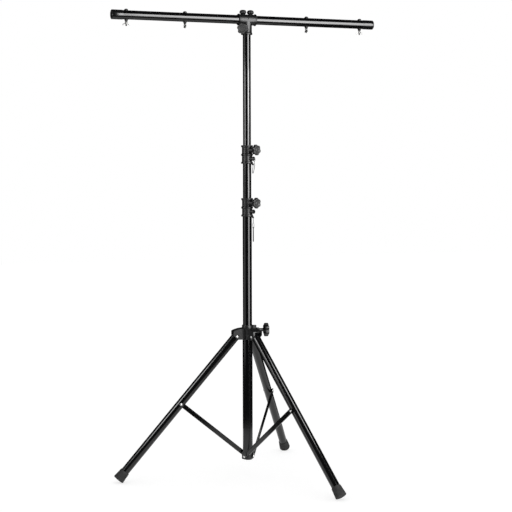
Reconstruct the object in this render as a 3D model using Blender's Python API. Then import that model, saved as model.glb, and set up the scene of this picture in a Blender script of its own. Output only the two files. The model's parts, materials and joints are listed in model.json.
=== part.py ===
"""Light stand: a folding tripod base, a two-stage telescopic mast and a T-bar with lamp bolts.

Units are metres and +Z is up. The origin is on the mast axis at the underside of the base
bracket, and the floor lies FLOOR_TO_BRACKET below it. The T-bar runs along X.
"""
from math import atan2, ceil, cos, hypot, pi, radians, sin

import bmesh
import bpy
from mathutils import Matrix, Vector

# Clearances
GAP = 0.0003
PIVOT_PLAY = 0.0003
BOSS_OVERLAP = 0.003

# Mast tubes
LOWER_TUBE_DIAMETER = 0.035
LOWER_TUBE_WALL = 0.0012
MID_TUBE_WALL = 0.0007
TOP_TUBE_WALL = 0.0010
LOWER_TUBE_LENGTH = 0.945
MID_TUBE_LENGTH = 1.003
TOP_TUBE_LENGTH = 1.0625
GUIDE_TUBE_WALL = 0.0012
GUIDE_END_GAP = 0.0015

# How far the two stages are drawn out
MID_EXTENSION = 0.130
TOP_EXTENSION = 0.415

# Base bracket at the foot of the mast
FLOOR_TO_BRACKET = 0.067
BRACKET_DIAMETER = 0.046
BRACKET_HEIGHT = 0.028
BRACKET_CHAMFER = 0.002
SPIGOT_HEIGHT = 0.012
STRUT_FOOT_OFFSET = 0.004
STRUT_FOOT_HEIGHT = 0.012
SCREW_DEPTH = 0.008

# Legs and feet
LEG_AZIMUTHS = (171.5, 291.5, 51.5)
LEG_SPREAD = 40.5
LEG_DIAMETER = 0.032
LEG_WALL = 0.0015
LEG_LENGTH = 0.699
LEG_TOP_OVERHANG = 0.010
FOOT_HEIGHT = 0.040
FOOT_TOP_DIAMETER = 0.0365
FOOT_SOLE_DIAMETER = 0.043
FOOT_SOLE_THICKNESS = 0.004
FOOT_EDGE = 0.002
FOOT_FLAT_DEPTH = 0.002

# Struts between the base bracket and the legs
STRUT_REACH = 0.332
STRUT_WIDTH = 0.0175
STRUT_THICKNESS = 0.004
STRUT_FLANGE = 0.0022
STRUT_RECESS = 0.0022
STRUT_END_PAD = 0.012

# Pins, rivets and screws
LEG_PIN_DIAMETER = 0.008
LEG_PIN_HEAD_DIAMETER = 0.010
STRUT_PIN_DIAMETER = 0.006
STRUT_PIN_HEAD_DIAMETER = 0.010
STRUT_SPACER_DIAMETER = 0.012
PIN_HEAD_HEIGHT = 0.0025

# Hub that slides on the mast and carries the legs
HUB_PIVOT_RADIUS = 0.045
HUB_ARM_REACH = 0.0625
HUB_ARM_WIDTH = 0.044
HUB_CHEEK = 0.0055
HUB_BELOW_PIVOT = 0.012
HUB_ROOF_INNER = 0.031
HUB_ROOF_OUTER = 0.021
HUB_ROOF_THICKNESS = 0.004
HUB_BARREL_RADIUS = 0.024
HUB_LOWER_CUT = 0.0165
HUB_COLLAR_DIAMETER = 0.043
HUB_COLLAR_HEIGHT = 0.0105
HUB_RIB_THICKNESS = 0.003
HUB_RIB_HEIGHT = 0.0035
HUB_WEB_DEPTH = 0.0022
HUB_GUIDE_DEPTH = 0.016
HUB_BOSS_AZIMUTH = 351.5
HUB_BOSS_RISE = 0.0215
HUB_BOSS_DIAMETER = 0.020
HUB_BOSS_REACH = 0.045
HUB_EAR_REACH = 0.034
HUB_EAR_WIDTH = 0.012

# Collars that clamp the two telescopic stages
COLLAR_HEIGHT = 0.070
COLLAR_RING_DIAMETER = 0.045
COLLAR_BODY_DIAMETER = 0.039
COLLAR_RING_HEIGHT = 0.0075
COLLAR_RING_BEVEL = 0.0018
COLLAR_MID_RING = 0.034
COLLAR_TUBE_INSET = 0.029
COLLAR_AZIMUTH = 296.7
COLLAR_KNOB_DROP = 0.0185
COLLAR_KNOB_BOSS_DIAMETER = 0.018
COLLAR_KNOB_BOSS_REACH = 0.0325
COLLAR_PIN_RISE = 0.019
COLLAR_PIN_BOSS_DIAMETER = 0.016
COLLAR_PIN_BOSS_REACH = 0.0355
COLLAR_LUG_REACH = 0.0344
COLLAR_LUG_DROP = 0.006
COLLAR_LUG_THICKNESS = 0.003
COLLAR_LUG_WIDTH = 0.0048
COLLAR_LUG_CORNER = 0.002
COLLAR_LUG_HOLE = 0.0034

# Clamping knobs
KNOB_LOBES = 6
KNOB_SCREW_DIAMETER = 0.007
COLLAR_KNOB_DIAMETER = 0.041
COLLAR_KNOB_THICKNESS = 0.0125
COLLAR_KNOB_NECK = 0.0085
HEAD_KNOB_DIAMETER = 0.043
HEAD_KNOB_THICKNESS = 0.0125
HEAD_KNOB_NECK = 0.0075
HUB_KNOB_DIAMETER = 0.052
HUB_KNOB_THICKNESS = 0.0165
HUB_KNOB_NECK = 0.0195
KNOB_NECK_DIAMETER = 0.014
BAR_KNOB_DIAMETER = 0.027
BAR_KNOB_HEIGHT = 0.0153
BAR_KNOB_LOBES = 8
BAR_KNOB_SCREW_DIAMETER = 0.006

# Lock pins and their wires
LOCK_PIN_DIAMETER = 0.004
LOCK_PIN_LENGTH = 0.052
LOCK_PIN_HEAD_DIAMETER = 0.0068
LOCK_PIN_HEAD_LENGTH = 0.003
RING_WIRE = 0.0016
UPPER_RING_DIAMETER = 0.012
LOWER_RING_DIAMETER = 0.020
LOWER_RING_TURN = 60
TETHER_DIAMETER = 0.0013
LOWER_TETHER_DROP = 0.0155
LOWER_TETHER_LEAN = 0.0006
TETHER_HOOK = 0.0012
UPPER_TETHER_SAG = 0.0352

# T head on top of the mast
HEAD_SOCKET_DIAMETER = 0.039
HEAD_LIP_DIAMETER = 0.0425
HEAD_LIP_HEIGHT = 0.009
HEAD_SOCKET_DEPTH = 0.0375
HEAD_BAR_RISE = 0.0555
HEAD_SLEEVE_DIAMETER = 0.040
HEAD_SLEEVE_LENGTH = 0.070
HEAD_FLANGE_DIAMETER = 0.044
HEAD_FLANGE_WIDTH = 0.0055
HEAD_GROOVE_WIDTH = 0.0024
HEAD_GROOVE_DEPTH = 0.0008
HEAD_KNOB_AZIMUTH = 230.5
HEAD_KNOB_RISE = 0.0183
HEAD_BOSS_DIAMETER = 0.017
HEAD_BOSS_REACH = 0.031
BAR_KNOB_OFFSET = 0.015
BAR_KNOB_BOSS_DIAMETER = 0.019
BAR_KNOB_BOSS_RISE = 0.021

# Crossbar in two halves, with a cap on each outer end
BAR_DIAMETER = 0.033
BAR_WALL = 0.0015
BAR_SPAN = 1.047
CAP_LENGTH = 0.044
CAP_WALL = 0.0008
CAP_END_THICKNESS = 0.004
CAP_EDGE = 0.0025

# Lamp bolts through the crossbar
BOLT_FROM_END = (0.056, 0.280)
BOLT_DIAMETER = 0.006
BOLT_HEAD_DIAMETER = 0.0145
BOLT_HEAD_HEIGHT = 0.0058
BOLT_SKIRT = 0.0022
BOLT_DROP = 0.0235
SADDLE_TOP_DIAMETER = 0.015
SADDLE_END_DIAMETER = 0.010
SADDLE_DROP = 0.0080
SADDLE_HUG = 0.0025
NUT_DIAMETER = 0.010
NUT_HEIGHT = 0.0065
NUT_SLACK = 0.0026
WING_SPAN = 0.027
WING_DROP = 0.0104
WING_THICKNESS = 0.0024

# Facets of the round pieces
MAST_SIDES = 24
TUBE_SIDES = 20
HUB_SIDES = 30
BOSS_SIDES = 12
PIN_SIDES = 10
RING_SIDES = 14

# Places and radii that follow from the sizes above
LOWER_RADIUS = LOWER_TUBE_DIAMETER / 2
MID_RADIUS = LOWER_RADIUS - LOWER_TUBE_WALL - GAP
TOP_RADIUS = MID_RADIUS - MID_TUBE_WALL - GAP
GUIDE_BORE = LOWER_RADIUS + GAP
GUIDE_RADIUS = GUIDE_BORE + GUIDE_TUBE_WALL
LEG_RADIUS = LEG_DIAMETER / 2
STRUT_INSIDE = LOWER_RADIUS + GAP
STRUT_OUTSIDE = STRUT_INSIDE + STRUT_THICKNESS
FLOOR = -FLOOR_TO_BRACKET
SPREAD = radians(LEG_SPREAD)
SOLE_CENTRE = FLOOR + FOOT_SOLE_DIAMETER / 2 * sin(SPREAD) - FOOT_FLAT_DEPTH
HUB_PIVOT = SOLE_CENTRE + LEG_LENGTH * cos(SPREAD)
STRUT_RUN = HUB_PIVOT_RADIUS + STRUT_REACH * sin(SPREAD) - STRUT_FOOT_OFFSET
STRUT_RISE = HUB_PIVOT - STRUT_REACH * cos(SPREAD) - STRUT_FOOT_HEIGHT
STRUT_LENGTH = hypot(STRUT_RUN, STRUT_RISE)
STRUT_TILT = atan2(STRUT_RUN, STRUT_RISE)
LOWER_TUBE_START = BRACKET_HEIGHT + GAP
LOWER_COLLAR_TOP = LOWER_TUBE_START + LOWER_TUBE_LENGTH + COLLAR_TUBE_INSET
UPPER_COLLAR_TOP = LOWER_COLLAR_TOP + MID_EXTENSION + COLLAR_HEIGHT
MID_TUBE_END = UPPER_COLLAR_TOP - COLLAR_TUBE_INSET
HEAD_START = UPPER_COLLAR_TOP + TOP_EXTENSION
TOP_TUBE_END = HEAD_START + HEAD_SOCKET_DEPTH
BAR_RADIUS = BAR_DIAMETER / 2
BAR_BORE = BAR_RADIUS + GAP

# Turns that lay a shape built along Z on another axis
ALONG_X = Matrix.Rotation(radians(90), 4, "Y")
ALONG_Y = Matrix.Rotation(radians(-90), 4, "X")
UPRIGHT = Matrix.Rotation(radians(90), 4, "X")


def spin_about_mast(degrees):
    return Matrix.Rotation(radians(degrees), 4, "Z")


def at(x, y, z):
    return Matrix.Translation((x, y, z))


def clear_scene():
    for item in list(bpy.data.objects):
        bpy.data.objects.remove(item)


def finish(name, colour, roughness, metallic):
    material = bpy.data.materials.new(name)
    material.use_nodes = True
    shader = material.node_tree.nodes["Principled BSDF"]
    shader.inputs["Base Color"].default_value = (*colour, 1)
    shader.inputs["Roughness"].default_value = roughness
    shader.inputs["Metallic"].default_value = metallic
    return material


# Solids as bmesh shapes

def turned(profile, sides, placed=None):
    """Turn a profile of (radius, height) points about Z."""
    solid = bmesh.new()
    points = [solid.verts.new((radius, 0, height)) for radius, height in profile]
    edges = [solid.edges.new(pair) for pair in zip(points, points[1:])]
    if profile[0][0] > 0:
        edges.append(solid.edges.new((points[-1], points[0])))
    bmesh.ops.spin(solid, geom=points + edges, cent=(0, 0, 0), axis=(0, 0, 1), angle=2 * pi,
                   steps=sides, use_merge=True)
    bmesh.ops.remove_doubles(solid, verts=solid.verts, dist=1e-6)
    return settle(solid, placed)


def rod(radius, low, high, sides, placed=None):
    return turned([(0, low), (radius, low), (radius, high), (0, high)], sides, placed)


def prism(outline, low, high, placed=None):
    """Extrude an outline in XY from one height to another."""
    solid = bmesh.new()
    face = solid.faces.new([solid.verts.new((x, y, low)) for x, y in outline])
    grown = bmesh.ops.extrude_face_region(solid, geom=[face])
    top = [piece for piece in grown["geom"] if isinstance(piece, bmesh.types.BMVert)]
    bmesh.ops.translate(solid, vec=(0, 0, high - low), verts=top)
    return settle(solid, placed)


def lofted(rings, placed=None):
    """Skin a stack of rings with equal point counts and close both ends."""
    solid = bmesh.new()
    rows = [[solid.verts.new(point) for point in ring] for ring in rings]
    for lower, upper in zip(rows, rows[1:]):
        for k in range(len(lower)):
            n = (k + 1) % len(lower)
            solid.faces.new((lower[k], lower[n], upper[n], upper[k]))
    solid.faces.new(rows[0])
    solid.faces.new(rows[-1])
    return settle(solid, placed)


def settle(solid, placed):
    bmesh.ops.recalc_face_normals(solid, faces=solid.faces)
    if placed is not None:
        bmesh.ops.transform(solid, matrix=placed, verts=solid.verts)
    return solid


def to_mesh(name, solid, sharp=30):
    mesh = bpy.data.meshes.new(name)
    solid.to_mesh(mesh)
    solid.free()
    mesh.shade_smooth()
    mesh.set_sharp_from_angle(angle=radians(sharp))
    return mesh


def worked(name, solid, steps):
    """Add, cut or intersect groups of solids, one group after another, and return the mesh."""
    block = bpy.data.objects.new(name, to_mesh(name, solid))
    bpy.context.scene.collection.objects.link(block)
    groups = []
    for operation, shapes in steps:
        group = bpy.data.collections.new(operation)
        bpy.context.scene.collection.children.link(group)
        groups.append(group)
        for shape in shapes:
            group.objects.link(bpy.data.objects.new("tool", to_mesh("tool", shape)))
        step = block.modifiers.new(operation, "BOOLEAN")
        step.operation = operation
        step.solver = "EXACT"
        step.operand_type = "COLLECTION"
        step.collection = group
    graph = bpy.context.evaluated_depsgraph_get()
    mesh = bpy.data.meshes.new_from_object(block.evaluated_get(graph))
    bpy.data.objects.remove(block)
    for group in groups:
        for tool in list(group.objects):
            bpy.data.objects.remove(tool)
        bpy.data.collections.remove(group)
    mesh.name = name
    mesh.materials.clear()
    mesh.shade_smooth()
    mesh.set_sharp_from_angle(angle=radians(30))
    return mesh


# Placing pieces

def joint(name, parent, placed):
    """An empty on a joint's axis, which carries the pieces that move together."""
    empty = bpy.data.objects.new(name, None)
    bpy.context.scene.collection.objects.link(empty)
    empty.parent = parent
    empty.matrix_local = placed
    return empty


def place(name, mesh, material, parent, placed=None):
    if not mesh.materials:
        mesh.materials.append(material)
    item = bpy.data.objects.new(name, mesh)
    bpy.context.scene.collection.objects.link(item)
    item.parent = parent
    item.matrix_local = placed or Matrix()
    return item


# Outlines

def arc(centre, radius, start, end, points):
    """Points on an arc, angles in degrees."""
    angles = [radians(start + (end - start) * k / (points - 1)) for k in range(points)]
    return [(centre[0] + radius * cos(a), centre[1] + radius * sin(a)) for a in angles]


def slot_outline(half_width, low, high, points=9):
    return arc((0, high), half_width, 0, 180, points) + arc((0, low), half_width, 180, 360, points)


def tube(outer, wall, low, high, sides):
    inner = outer - wall
    return turned([(outer, high), (outer, low), (inner, low), (inner, high)], sides)


# Pins and knobs

def headed_pin(profile):
    return to_mesh("pin", turned(profile, PIN_SIDES, ALONG_Y))


def dome(radius, base, height):
    """Half profile of a low round head, from its rim to its crown."""
    return [(radius, base + 0.25 * height), (0.8 * radius, base + 0.75 * height), (0, base + height)]


def lobed_ring(radius, height, lobes, depth, points):
    ring = []
    for k in range(points):
        turn = 2 * pi * k / points
        reach = radius * (1 - depth * (1 - cos(lobes * turn)) / 2)
        ring.append((reach * cos(turn), reach * sin(turn), height))
    return ring


def star_knob(name, diameter, thickness, neck, screw):
    """A lobed knob with its neck and clamping screw, on +Z from the face of its boss."""
    radius = diameter / 2
    neck_radius = KNOB_NECK_DIAMETER / 2
    screw_radius = KNOB_SCREW_DIAMETER / 2
    levels = [(screw_radius, -screw, 0), (screw_radius, 0, 0), (neck_radius, 0, 0),
              (0.86 * neck_radius, neck, 0), (0.84 * radius, neck, 0.20),
              (radius, neck + 0.2 * thickness, 0.20), (radius, neck + 0.66 * thickness, 0.20),
              (0.86 * radius, neck + 0.9 * thickness, 0.18), (0.5 * radius, neck + thickness, 0.06)]
    rings = [lobed_ring(r, z, KNOB_LOBES, depth, 4 * KNOB_LOBES) for r, z, depth in levels]
    return to_mesh(name, lofted(rings), 40)


def bar_knob():
    """A small fluted ball knob with its screw, on +Z from the face of its boss."""
    radius = BAR_KNOB_DIAMETER / 2
    height = BAR_KNOB_HEIGHT
    screw_radius = BAR_KNOB_SCREW_DIAMETER / 2
    screw = BAR_KNOB_BOSS_RISE - BAR_RADIUS
    levels = [(screw_radius, -screw, 0), (screw_radius, 0, 0), (0.68 * radius, 0, 0),
              (0.92 * radius, 0.16 * height, 0.07), (radius, 0.42 * height, 0.09),
              (0.90 * radius, 0.70 * height, 0.08), (0.62 * radius, 0.91 * height, 0.04),
              (0.25 * radius, height, 0)]
    rings = [lobed_ring(r, z, BAR_KNOB_LOBES, depth, 2 * BAR_KNOB_LOBES) for r, z, depth in levels]
    return to_mesh("bar_knob", lofted(rings), 50)


# Base of the mast

def base_bracket():
    radius = BRACKET_DIAMETER / 2
    spigot = MID_RADIUS
    block = turned([(0, 0), (radius - BRACKET_CHAMFER, 0), (radius, BRACKET_CHAMFER),
                    (radius, BRACKET_HEIGHT - BRACKET_CHAMFER / 2),
                    (radius - BRACKET_CHAMFER / 2, BRACKET_HEIGHT), (spigot, BRACKET_HEIGHT),
                    (spigot, BRACKET_HEIGHT + SPIGOT_HEIGHT), (0, BRACKET_HEIGHT + SPIGOT_HEIGHT)],
                   MAST_SIDES)
    flats = []
    holes = []
    far = BRACKET_DIAMETER
    for azimuth in LEG_AZIMUTHS:
        side = spin_about_mast(azimuth)
        flat = [(-far, -far), (far, -far), (far, -LOWER_RADIUS), (-far, -LOWER_RADIUS)]
        flats.append(prism(flat, -GAP, BRACKET_HEIGHT + GAP, side))
        hole = at(STRUT_FOOT_OFFSET, 0, STRUT_FOOT_HEIGHT) @ ALONG_Y
        reach = LOWER_RADIUS - SCREW_DEPTH - GAP
        holes.append(rod(STRUT_PIN_DIAMETER / 2 + PIVOT_PLAY, -far, -reach, PIN_SIDES, side @ hole))
    return worked("base_bracket", block, [("DIFFERENCE", flats), ("DIFFERENCE", holes)])


def lower_tube():
    """The fixed tube of the mast, with the lock pin's hole through its wall."""
    high = LOWER_TUBE_START + LOWER_TUBE_LENGTH
    body = tube(LOWER_RADIUS, LOWER_TUBE_WALL, LOWER_TUBE_START, high, MAST_SIDES)
    height = LOWER_COLLAR_TOP - COLLAR_HEIGHT + COLLAR_PIN_RISE
    return worked("lower_tube", body, [("DIFFERENCE", [pin_hole(height)])])


def mid_tube():
    body = tube(MID_RADIUS, MID_TUBE_WALL, MID_TUBE_END - MID_TUBE_LENGTH, MID_TUBE_END, MAST_SIDES)
    height = UPPER_COLLAR_TOP - COLLAR_HEIGHT + COLLAR_PIN_RISE
    return worked("mid_tube", body, [("DIFFERENCE", [pin_hole(height)])])


def pin_hole(height):
    radius = LOCK_PIN_DIAMETER / 2 + PIVOT_PLAY
    return rod(radius, 0, COLLAR_PIN_BOSS_REACH + GAP, PIN_SIDES,
               spin_about_mast(COLLAR_AZIMUTH) @ at(0, 0, height) @ ALONG_X)


# Collars

def collar(name, fixed_radius, sliding_radius):
    """A ringed clamp collar on the end of the fixed tube, its lower face at height 0."""
    ring = COLLAR_RING_DIAMETER / 2
    body = COLLAR_BODY_DIAMETER / 2
    bevel = COLLAR_RING_BEVEL
    profile = [(0, 0)]
    for low in (0, COLLAR_MID_RING - COLLAR_RING_HEIGHT / 2, COLLAR_HEIGHT - COLLAR_RING_HEIGHT):
        high = low + COLLAR_RING_HEIGHT
        if low > 0:
            profile.append((body, low))
        profile += [(ring - bevel if low == 0 else ring, low if low == 0 else low + bevel)]
        if low == 0:
            profile.append((ring, bevel))
        profile.append((ring, high - bevel))
        profile.append((body if high < COLLAR_HEIGHT else ring - 2 * bevel, high))
    profile.append((0, COLLAR_HEIGHT))
    tube_end = COLLAR_HEIGHT - COLLAR_TUBE_INSET + GAP
    bore = turned([(0, -GAP), (fixed_radius + GAP, -GAP), (fixed_radius + GAP, tube_end),
                   (sliding_radius + GAP, tube_end), (sliding_radius + GAP, COLLAR_HEIGHT + GAP),
                   (0, COLLAR_HEIGHT + GAP)], MAST_SIDES)
    knob_axis = at(0, 0, COLLAR_HEIGHT - COLLAR_KNOB_DROP) @ ALONG_X
    pin_axis = at(0, 0, COLLAR_PIN_RISE) @ ALONG_X
    root = body - BOSS_OVERLAP
    boss = COLLAR_KNOB_BOSS_DIAMETER / 2
    socket = COLLAR_PIN_BOSS_DIAMETER / 2
    lug = [(root, COLLAR_RING_HEIGHT), (ring, COLLAR_RING_HEIGHT),
           (COLLAR_LUG_REACH, -0.2 * COLLAR_LUG_DROP), (COLLAR_LUG_REACH, -0.7 * COLLAR_LUG_DROP),
           (COLLAR_LUG_REACH - COLLAR_LUG_CORNER, -COLLAR_LUG_DROP),
           (COLLAR_LUG_REACH - COLLAR_LUG_WIDTH, -COLLAR_LUG_DROP),
           (ring - COLLAR_LUG_CORNER / 2, -0.1 * COLLAR_LUG_DROP), (fixed_radius + 2 * GAP, 0)]
    half = COLLAR_LUG_THICKNESS / 2
    knob_boss = turned([(0, root), (1.1 * boss, root), (0.94 * boss, COLLAR_KNOB_BOSS_REACH),
                        (0, COLLAR_KNOB_BOSS_REACH)], BOSS_SIDES, knob_axis)
    pin_boss = turned([(0, root), (socket, root), (socket, COLLAR_PIN_BOSS_REACH - 0.001),
                       (socket - 0.001, COLLAR_PIN_BOSS_REACH), (0, COLLAR_PIN_BOSS_REACH)],
                      BOSS_SIDES, pin_axis)
    far = 2 * COLLAR_PIN_BOSS_REACH
    knob_hole = rod(KNOB_SCREW_DIAMETER / 2 + GAP, 0, far, PIN_SIDES, knob_axis)
    hole = rod(LOCK_PIN_DIAMETER / 2 + PIVOT_PLAY, 0, far, PIN_SIDES, pin_axis)
    return worked(name, turned(profile, TUBE_SIDES),
                  [("UNION", [knob_boss, pin_boss, prism(lug, -half, half, UPRIGHT)]),
                   ("DIFFERENCE", [bore, knob_hole, hole])])


# Hub

def hub_outline():
    """Plan of the hub: three arms, a shallow web between each pair and a rib on each web."""
    half = HUB_ARM_WIDTH / 2
    reach = HUB_ARM_REACH * 1.2
    outline = []
    for azimuth in LEG_AZIMUTHS:
        arm = spin_about_mast(azimuth)
        middle = spin_about_mast(azimuth + 60)
        corner = hypot(half, half) * cos(radians(15))
        inner = corner - HUB_WEB_DEPTH
        rib = HUB_RIB_THICKNESS / 2
        points = [arm @ Vector((half, -half, 0)), arm @ Vector((reach, -half, 0)),
                  arm @ Vector((reach, half, 0)), arm @ Vector((half, half, 0)),
                  middle @ Vector((inner + 0.0008, -2 * rib, 0)), middle @ Vector((inner, -rib, 0)),
                  middle @ Vector((inner + HUB_RIB_HEIGHT, -rib, 0)),
                  middle @ Vector((inner + HUB_RIB_HEIGHT, rib, 0)),
                  middle @ Vector((inner, rib, 0)), middle @ Vector((inner + 0.0008, 2 * rib, 0))]
        outline += [(point.x, point.y) for point in points]
    return outline


def hub():
    """The sliding hub, modelled about the height of the leg pivots."""
    low = -HUB_BELOW_PIVOT
    collar_radius = HUB_COLLAR_DIAMETER / 2
    roof_start = collar_radius + 0.0035
    top = HUB_ROOF_INNER + HUB_COLLAR_HEIGHT
    middle = (roof_start + HUB_ARM_REACH) / 2
    crown = (HUB_ROOF_INNER + HUB_ROOF_OUTER) / 2 + 0.0015
    form = turned([(0, low), (HUB_ARM_REACH - HUB_LOWER_CUT, low),
                   (HUB_ARM_REACH, low + HUB_LOWER_CUT), (HUB_ARM_REACH, HUB_ROOF_OUTER - 0.002),
                   (HUB_ARM_REACH - 0.002, HUB_ROOF_OUTER), (middle, crown),
                   (roof_start, HUB_ROOF_INNER), (collar_radius, HUB_ROOF_INNER),
                   (collar_radius, top - 0.001), (collar_radius - 0.001, top), (0, top)],
                  HUB_SIDES)
    cuts = []
    slot_half = HUB_ARM_WIDTH / 2 - HUB_CHEEK
    far = 2 * HUB_ARM_REACH
    fall = (HUB_ROOF_INNER - HUB_ROOF_OUTER) / (HUB_ARM_REACH - roof_start)
    under = HUB_ROOF_INNER - HUB_ROOF_THICKNESS
    slot = [(HUB_BARREL_RADIUS, -far), (far, -far), (far, under - fall * (far - roof_start)),
            (roof_start, under), (HUB_BARREL_RADIUS, under)]
    pin_radius = LEG_PIN_DIAMETER / 2 + PIVOT_PLAY
    for azimuth in LEG_AZIMUTHS:
        arm = spin_about_mast(azimuth)
        cuts.append(prism(slot, -slot_half, slot_half, arm @ UPRIGHT))
        cuts.append(rod(pin_radius, -HUB_ARM_WIDTH, HUB_ARM_WIDTH, PIN_SIDES,
                        arm @ at(HUB_PIVOT_RADIUS, 0, 0) @ ALONG_Y))
    side = spin_about_mast(HUB_BOSS_AZIMUTH)
    axis = side @ at(0, 0, HUB_BOSS_RISE) @ ALONG_X
    boss = HUB_BOSS_DIAMETER / 2
    ear = HUB_EAR_WIDTH / 2
    ear_outline = [(GUIDE_RADIUS, -ear), (HUB_EAR_REACH - 0.002, -ear), (HUB_EAR_REACH, -ear + 0.002),
                   (HUB_EAR_REACH, ear - 0.002), (HUB_EAR_REACH - 0.002, ear), (GUIDE_RADIUS, ear)]
    bore = turned([(0, 2 * low), (GUIDE_RADIUS + GAP, 2 * low),
                   (GUIDE_RADIUS + GAP, HUB_GUIDE_DEPTH + GAP),
                   (LOWER_RADIUS + GAP, HUB_GUIDE_DEPTH + GAP), (LOWER_RADIUS + GAP, 2 * top),
                   (0, 2 * top)], MAST_SIDES)
    knob_boss = turned([(0, GUIDE_RADIUS), (1.08 * boss, GUIDE_RADIUS),
                        (0.92 * boss, HUB_BOSS_REACH - 0.001), (0.84 * boss, HUB_BOSS_REACH),
                        (0, HUB_BOSS_REACH)], BOSS_SIDES, axis)
    ear_block = prism(ear_outline, HUB_BOSS_RISE, top - 0.001, side)
    cuts += [bore, rod(KNOB_SCREW_DIAMETER / 2 + GAP, 0, 2 * HUB_BOSS_REACH, PIN_SIDES, axis)]
    return worked("hub", prism(hub_outline(), low - GAP, top + GAP),
                  [("INTERSECT", [form]), ("UNION", [knob_boss, ear_block]), ("DIFFERENCE", cuts)])


def guide_tube():
    """The sleeve under the hub, from the hub's socket down to just above the base bracket."""
    low = BRACKET_HEIGHT + GUIDE_END_GAP - HUB_PIVOT
    return to_mesh("guide_tube", tube(GUIDE_RADIUS, GUIDE_TUBE_WALL, low, HUB_GUIDE_DEPTH, MAST_SIDES))


def leg_pin():
    """The pin across a hub arm, with a round head on each cheek."""
    shank = LEG_PIN_DIAMETER / 2
    head = LEG_PIN_HEAD_DIAMETER / 2
    seat = HUB_ARM_WIDTH / 2 + GAP
    crown = PIN_HEAD_HEIGHT
    upper = [(shank, seat), (head, seat)] + dome(head, seat, crown)
    lower = [(radius, -height) for radius, height in reversed(upper)]
    return headed_pin(lower + upper)


# Legs

def leg_frame():
    """The leg's own axes on its hub pivot: the tube runs down its -Z."""
    return at(HUB_PIVOT_RADIUS, 0, 0) @ Matrix.Rotation(-SPREAD, 4, "Y")


def leg_tube():
    low = -LEG_LENGTH + FOOT_SOLE_THICKNESS + GAP
    body = tube(LEG_RADIUS, LEG_WALL, low, LEG_TOP_OVERHANG, TUBE_SIDES)
    pivot = LEG_PIN_DIAMETER / 2 + PIVOT_PLAY
    rivet = STRUT_PIN_DIAMETER / 2 + PIVOT_PLAY
    reach = 2 * LEG_RADIUS
    holes = [rod(pivot, -reach, reach, PIN_SIDES, ALONG_Y),
             rod(rivet, -reach, reach, PIN_SIDES, at(0, 0, -STRUT_REACH) @ ALONG_Y)]
    return worked("leg_tube", body, [("DIFFERENCE", holes)])


def foot():
    """The rubber foot on the end of a leg, with a small flat where it meets the floor."""
    sole = FOOT_SOLE_DIAMETER / 2
    neck = FOOT_TOP_DIAMETER / 2
    bore = LEG_RADIUS + GAP
    top = FOOT_HEIGHT
    edge = FOOT_EDGE
    body = turned([(0, 0), (sole - edge, 0), (sole, edge), (neck, top - edge / 2),
                   (neck - edge / 2, top), (bore, top), (bore, FOOT_SOLE_THICKNESS),
                   (0, FOOT_SOLE_THICKNESS)], TUBE_SIDES, at(0, 0, -LEG_LENGTH))
    half = FOOT_SOLE_DIAMETER
    outline = [(-half, -half), (half, -half), (half, half), (-half, half)]
    to_floor = (at(0, 0, HUB_PIVOT) @ leg_frame()).inverted()
    spot = HUB_PIVOT_RADIUS + LEG_LENGTH * sin(SPREAD)
    ground = prism(outline, FLOOR - FOOT_HEIGHT, FLOOR, to_floor @ at(spot, 0, 0))
    return worked("foot", body, [("DIFFERENCE", [ground])])


def leg_rivet():
    """The leg's half of the strut rivet: a shank through the tube and a head on the far side."""
    shank = STRUT_PIN_DIAMETER / 2
    head = STRUT_PIN_HEAD_DIAMETER / 2
    seat = LEG_RADIUS + GAP
    profile = [(0, -LEG_RADIUS), (shank, -LEG_RADIUS), (shank, seat), (head, seat)]
    return headed_pin(profile + dome(head, seat, PIN_HEAD_HEIGHT))


# Struts

def strut():
    """A flat strut with a pressed channel on its outer side, up its own +Z from the foot pivot."""
    half = STRUT_WIDTH / 2
    body = prism(slot_outline(half, 0, STRUT_LENGTH), STRUT_INSIDE, STRUT_OUTSIDE, UPRIGHT)
    channel_half = half - STRUT_FLANGE
    low = STRUT_END_PAD + channel_half
    channel = slot_outline(channel_half, low, STRUT_LENGTH - low, 7)
    floor = STRUT_OUTSIDE - STRUT_RECESS
    cuts = [prism(channel, floor, STRUT_OUTSIDE + GAP, UPRIGHT)]
    hole = STRUT_PIN_DIAMETER / 2 + PIVOT_PLAY
    for height in (0, STRUT_LENGTH):
        cuts.append(rod(hole, -2 * STRUT_OUTSIDE, 0, PIN_SIDES, at(0, 0, height) @ ALONG_Y))
    return worked("strut", body, [("DIFFERENCE", cuts)])


def strut_foot_screw():
    """The screw that holds a strut's lower end to the base bracket."""
    shank = STRUT_PIN_DIAMETER / 2
    head = STRUT_PIN_HEAD_DIAMETER / 2
    seat = STRUT_OUTSIDE + GAP
    upper = [(0, -LOWER_RADIUS + SCREW_DEPTH), (shank, -LOWER_RADIUS + SCREW_DEPTH), (shank, -seat),
             (head, -seat)]
    crown = [(radius, -height) for radius, height in dome(head, seat, PIN_HEAD_HEIGHT)]
    return headed_pin(upper + crown)


def strut_pin():
    """The strut's half of the rivet: a spacer beside the leg, a shank and an outer head."""
    shank = STRUT_PIN_DIAMETER / 2
    head = STRUT_PIN_HEAD_DIAMETER / 2
    spacer = STRUT_SPACER_DIAMETER / 2
    seat = STRUT_OUTSIDE + GAP
    upper = [(0, -LEG_RADIUS - GAP), (spacer, -LEG_RADIUS - GAP), (spacer, -STRUT_INSIDE + GAP),
             (shank, -STRUT_INSIDE + GAP), (shank, -seat), (head, -seat)]
    crown = [(radius, -height) for radius, height in dome(head, seat, PIN_HEAD_HEIGHT)]
    return headed_pin(upper + crown)


# Lock pins and wires

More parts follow.
